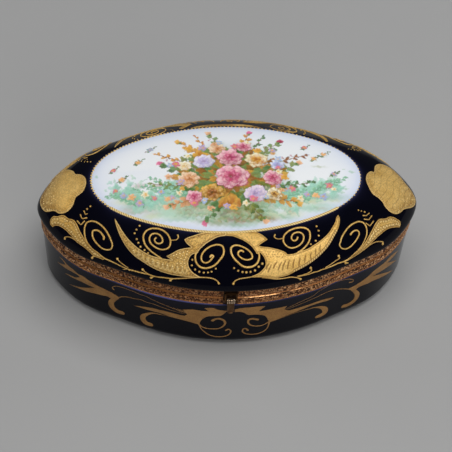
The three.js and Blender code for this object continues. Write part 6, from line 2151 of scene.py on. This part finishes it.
# catch on the base's rim
bm = bmesh.new()
bmesh.ops.create_uvsphere(bm, u_segments=28, v_segments=16, radius=1.7)
for q in bm.verts:
    q.co = Vector((HASP_X + q.co.x, max(-82.5 + 2.21 + q.co.y * 1.3, -82.5), 54.2 + q.co.z * 0.9))
    q.co.y = min(q.co.y, -79.6)
nosepiece = from_bm(bm)
fitting("catch_nose", [block(HASP_X - 2.4, HASP_X + 2.4, -80.2, -79.5, 51.5, 58.3, 0.14), nosepiece], "base", m_hasp, ["catch_plate"], lambda v: worn(v, 0.5))

# ================================================================ stage, light, camera
bm = bmesh.new()
bmesh.ops.create_grid(bm, x_segments=2, y_segments=2, size=3.0)
me = bpy.data.meshes.new("floor")
bm.to_mesh(me)
bm.free()
floor = bpy.data.objects.new("floor", me)
bpy.context.scene.collection.objects.link(floor)
m_floor, nt, b = material("floor_paper", roughness=0.85)
nt.links.new(blend(nt, noise(nt, 7, 4, 0.6), (0.375, 0.375, 0.373), (0.395, 0.395, 0.393)), b.inputs["Base Color"])
bump(nt, b, noise(nt, 500, 3, 0.6), 0.10, 0.0003)
me.materials.append(m_floor)


def softbox(name, loc, target, size, power, color=(1, 1, 1), gloss=True):
    d = bpy.data.lights.new(name, "AREA")
    d.shape, d.size, d.size_y = "RECTANGLE", size[0], size[1]
    d.energy, d.color = power, color
    o = bpy.data.objects.new(name, d)
    bpy.context.scene.collection.objects.link(o)
    o.location = loc
    o.rotation_mode = "QUATERNION"
    o.rotation_quaternion = (Vector(target) - Vector(loc)).to_track_quat("-Z", "Y")
    o.visible_glossy = gloss
    return o


softbox("overhead", (0.20, -0.12, 1.95), (0, 0, 0.05), (1.9, 1.5), 31, (1.0, 0.995, 0.985), gloss=False)
softbox("left", (-1.6, 0.55, 0.42), (0, 0, 0.06), (0.9, 0.5), 6.0, (1.0, 0.99, 0.97), gloss=False)
softbox("right", (1.6, 0.50, 0.45), (0, 0, 0.06), (0.9, 0.5), 5.5, (0.98, 0.99, 1.0), gloss=False)
softbox("front", (0.55, -1.7, 0.95), (0, 0, 0.03), (1.2, 0.8), 10, (1.0, 0.98, 0.96), gloss=False)
softbox("behind", (-0.25, 2.0, 0.35), (0, 0, 0.08), (2.6, 0.5), 2.0, (0.98, 0.99, 1.0), gloss=False)
gilt = bpy.data.collections.new("gilt")
for ob in bpy.data.objects:
    if ob.type == "MESH" and ob.data.materials and ob.data.materials[0] in (m_gold, m_flat, m_rim, m_hasp, m_smooth):
        gilt.objects.link(ob)
sheen = softbox("gilding_sheen", (0.75, -1.25, 1.75), (0, 0, 0.05), (1.5, 1.1), 17.5, (1.0, 0.98, 0.95))
sheen.light_linking.receiver_collection = gilt
raised = bpy.data.collections.new("raised_gilt")
for ob in bpy.data.objects:
    if ob.type == "MESH" and ob.data.materials and ob.data.materials[0] == m_gold:
        raised.objects.link(ob)
warmth = softbox("gilding_warmth", (-1.35, 0.25, 1.00), (0, 0, 0.08), (0.8, 0.6), 2.7, (1.0, 0.84, 0.50))
warmth.light_linking.receiver_collection = raised
world = bpy.data.worlds.new("studio")
bpy.context.scene.world = world
world.use_nodes = True
world.node_tree.nodes["Background"].inputs["Color"].default_value = (0.80, 0.86, 1.0, 1)
world.node_tree.nodes["Background"].inputs["Strength"].default_value = 0.075
bpy.context.scene.view_settings.view_transform = "Standard"
bpy.context.scene.view_settings.look = "None"

EL, AZ, ROLL, DIST, FOCAL, CX, CY, W = math.radians(50.0), math.radians(-6.34), math.radians(3.78), 1.0, 1321.34, 226.63, 233.54, 452.0
right = Vector((math.cos(AZ), math.sin(AZ), 0))
fwd = Vector((-math.sin(AZ) * math.cos(EL), math.cos(AZ) * math.cos(EL), -math.sin(EL)))
up = right.cross(fwd)
xc = right * math.cos(ROLL) + up * math.sin(ROLL)
yc = -right * math.sin(ROLL) + up * math.cos(ROLL)
cam = bpy.data.objects.new("camera", bpy.data.cameras.new("camera"))
bpy.context.scene.collection.objects.link(cam)
cam.matrix_world = Matrix.Translation(Vector((0, 0, 0.035)) - fwd * DIST) @ Matrix((xc, yc, -fwd)).transposed().to_4x4()
cam.data.sensor_width = 36.0
cam.data.lens = FOCAL / W * 36.0
cam.data.shift_x = -(CX - W / 2) / W
cam.data.shift_y = (CY - W / 2) / W
cam.data.clip_start, cam.data.clip_end = 0.01, 50.0
bpy.context.scene.camera = cam
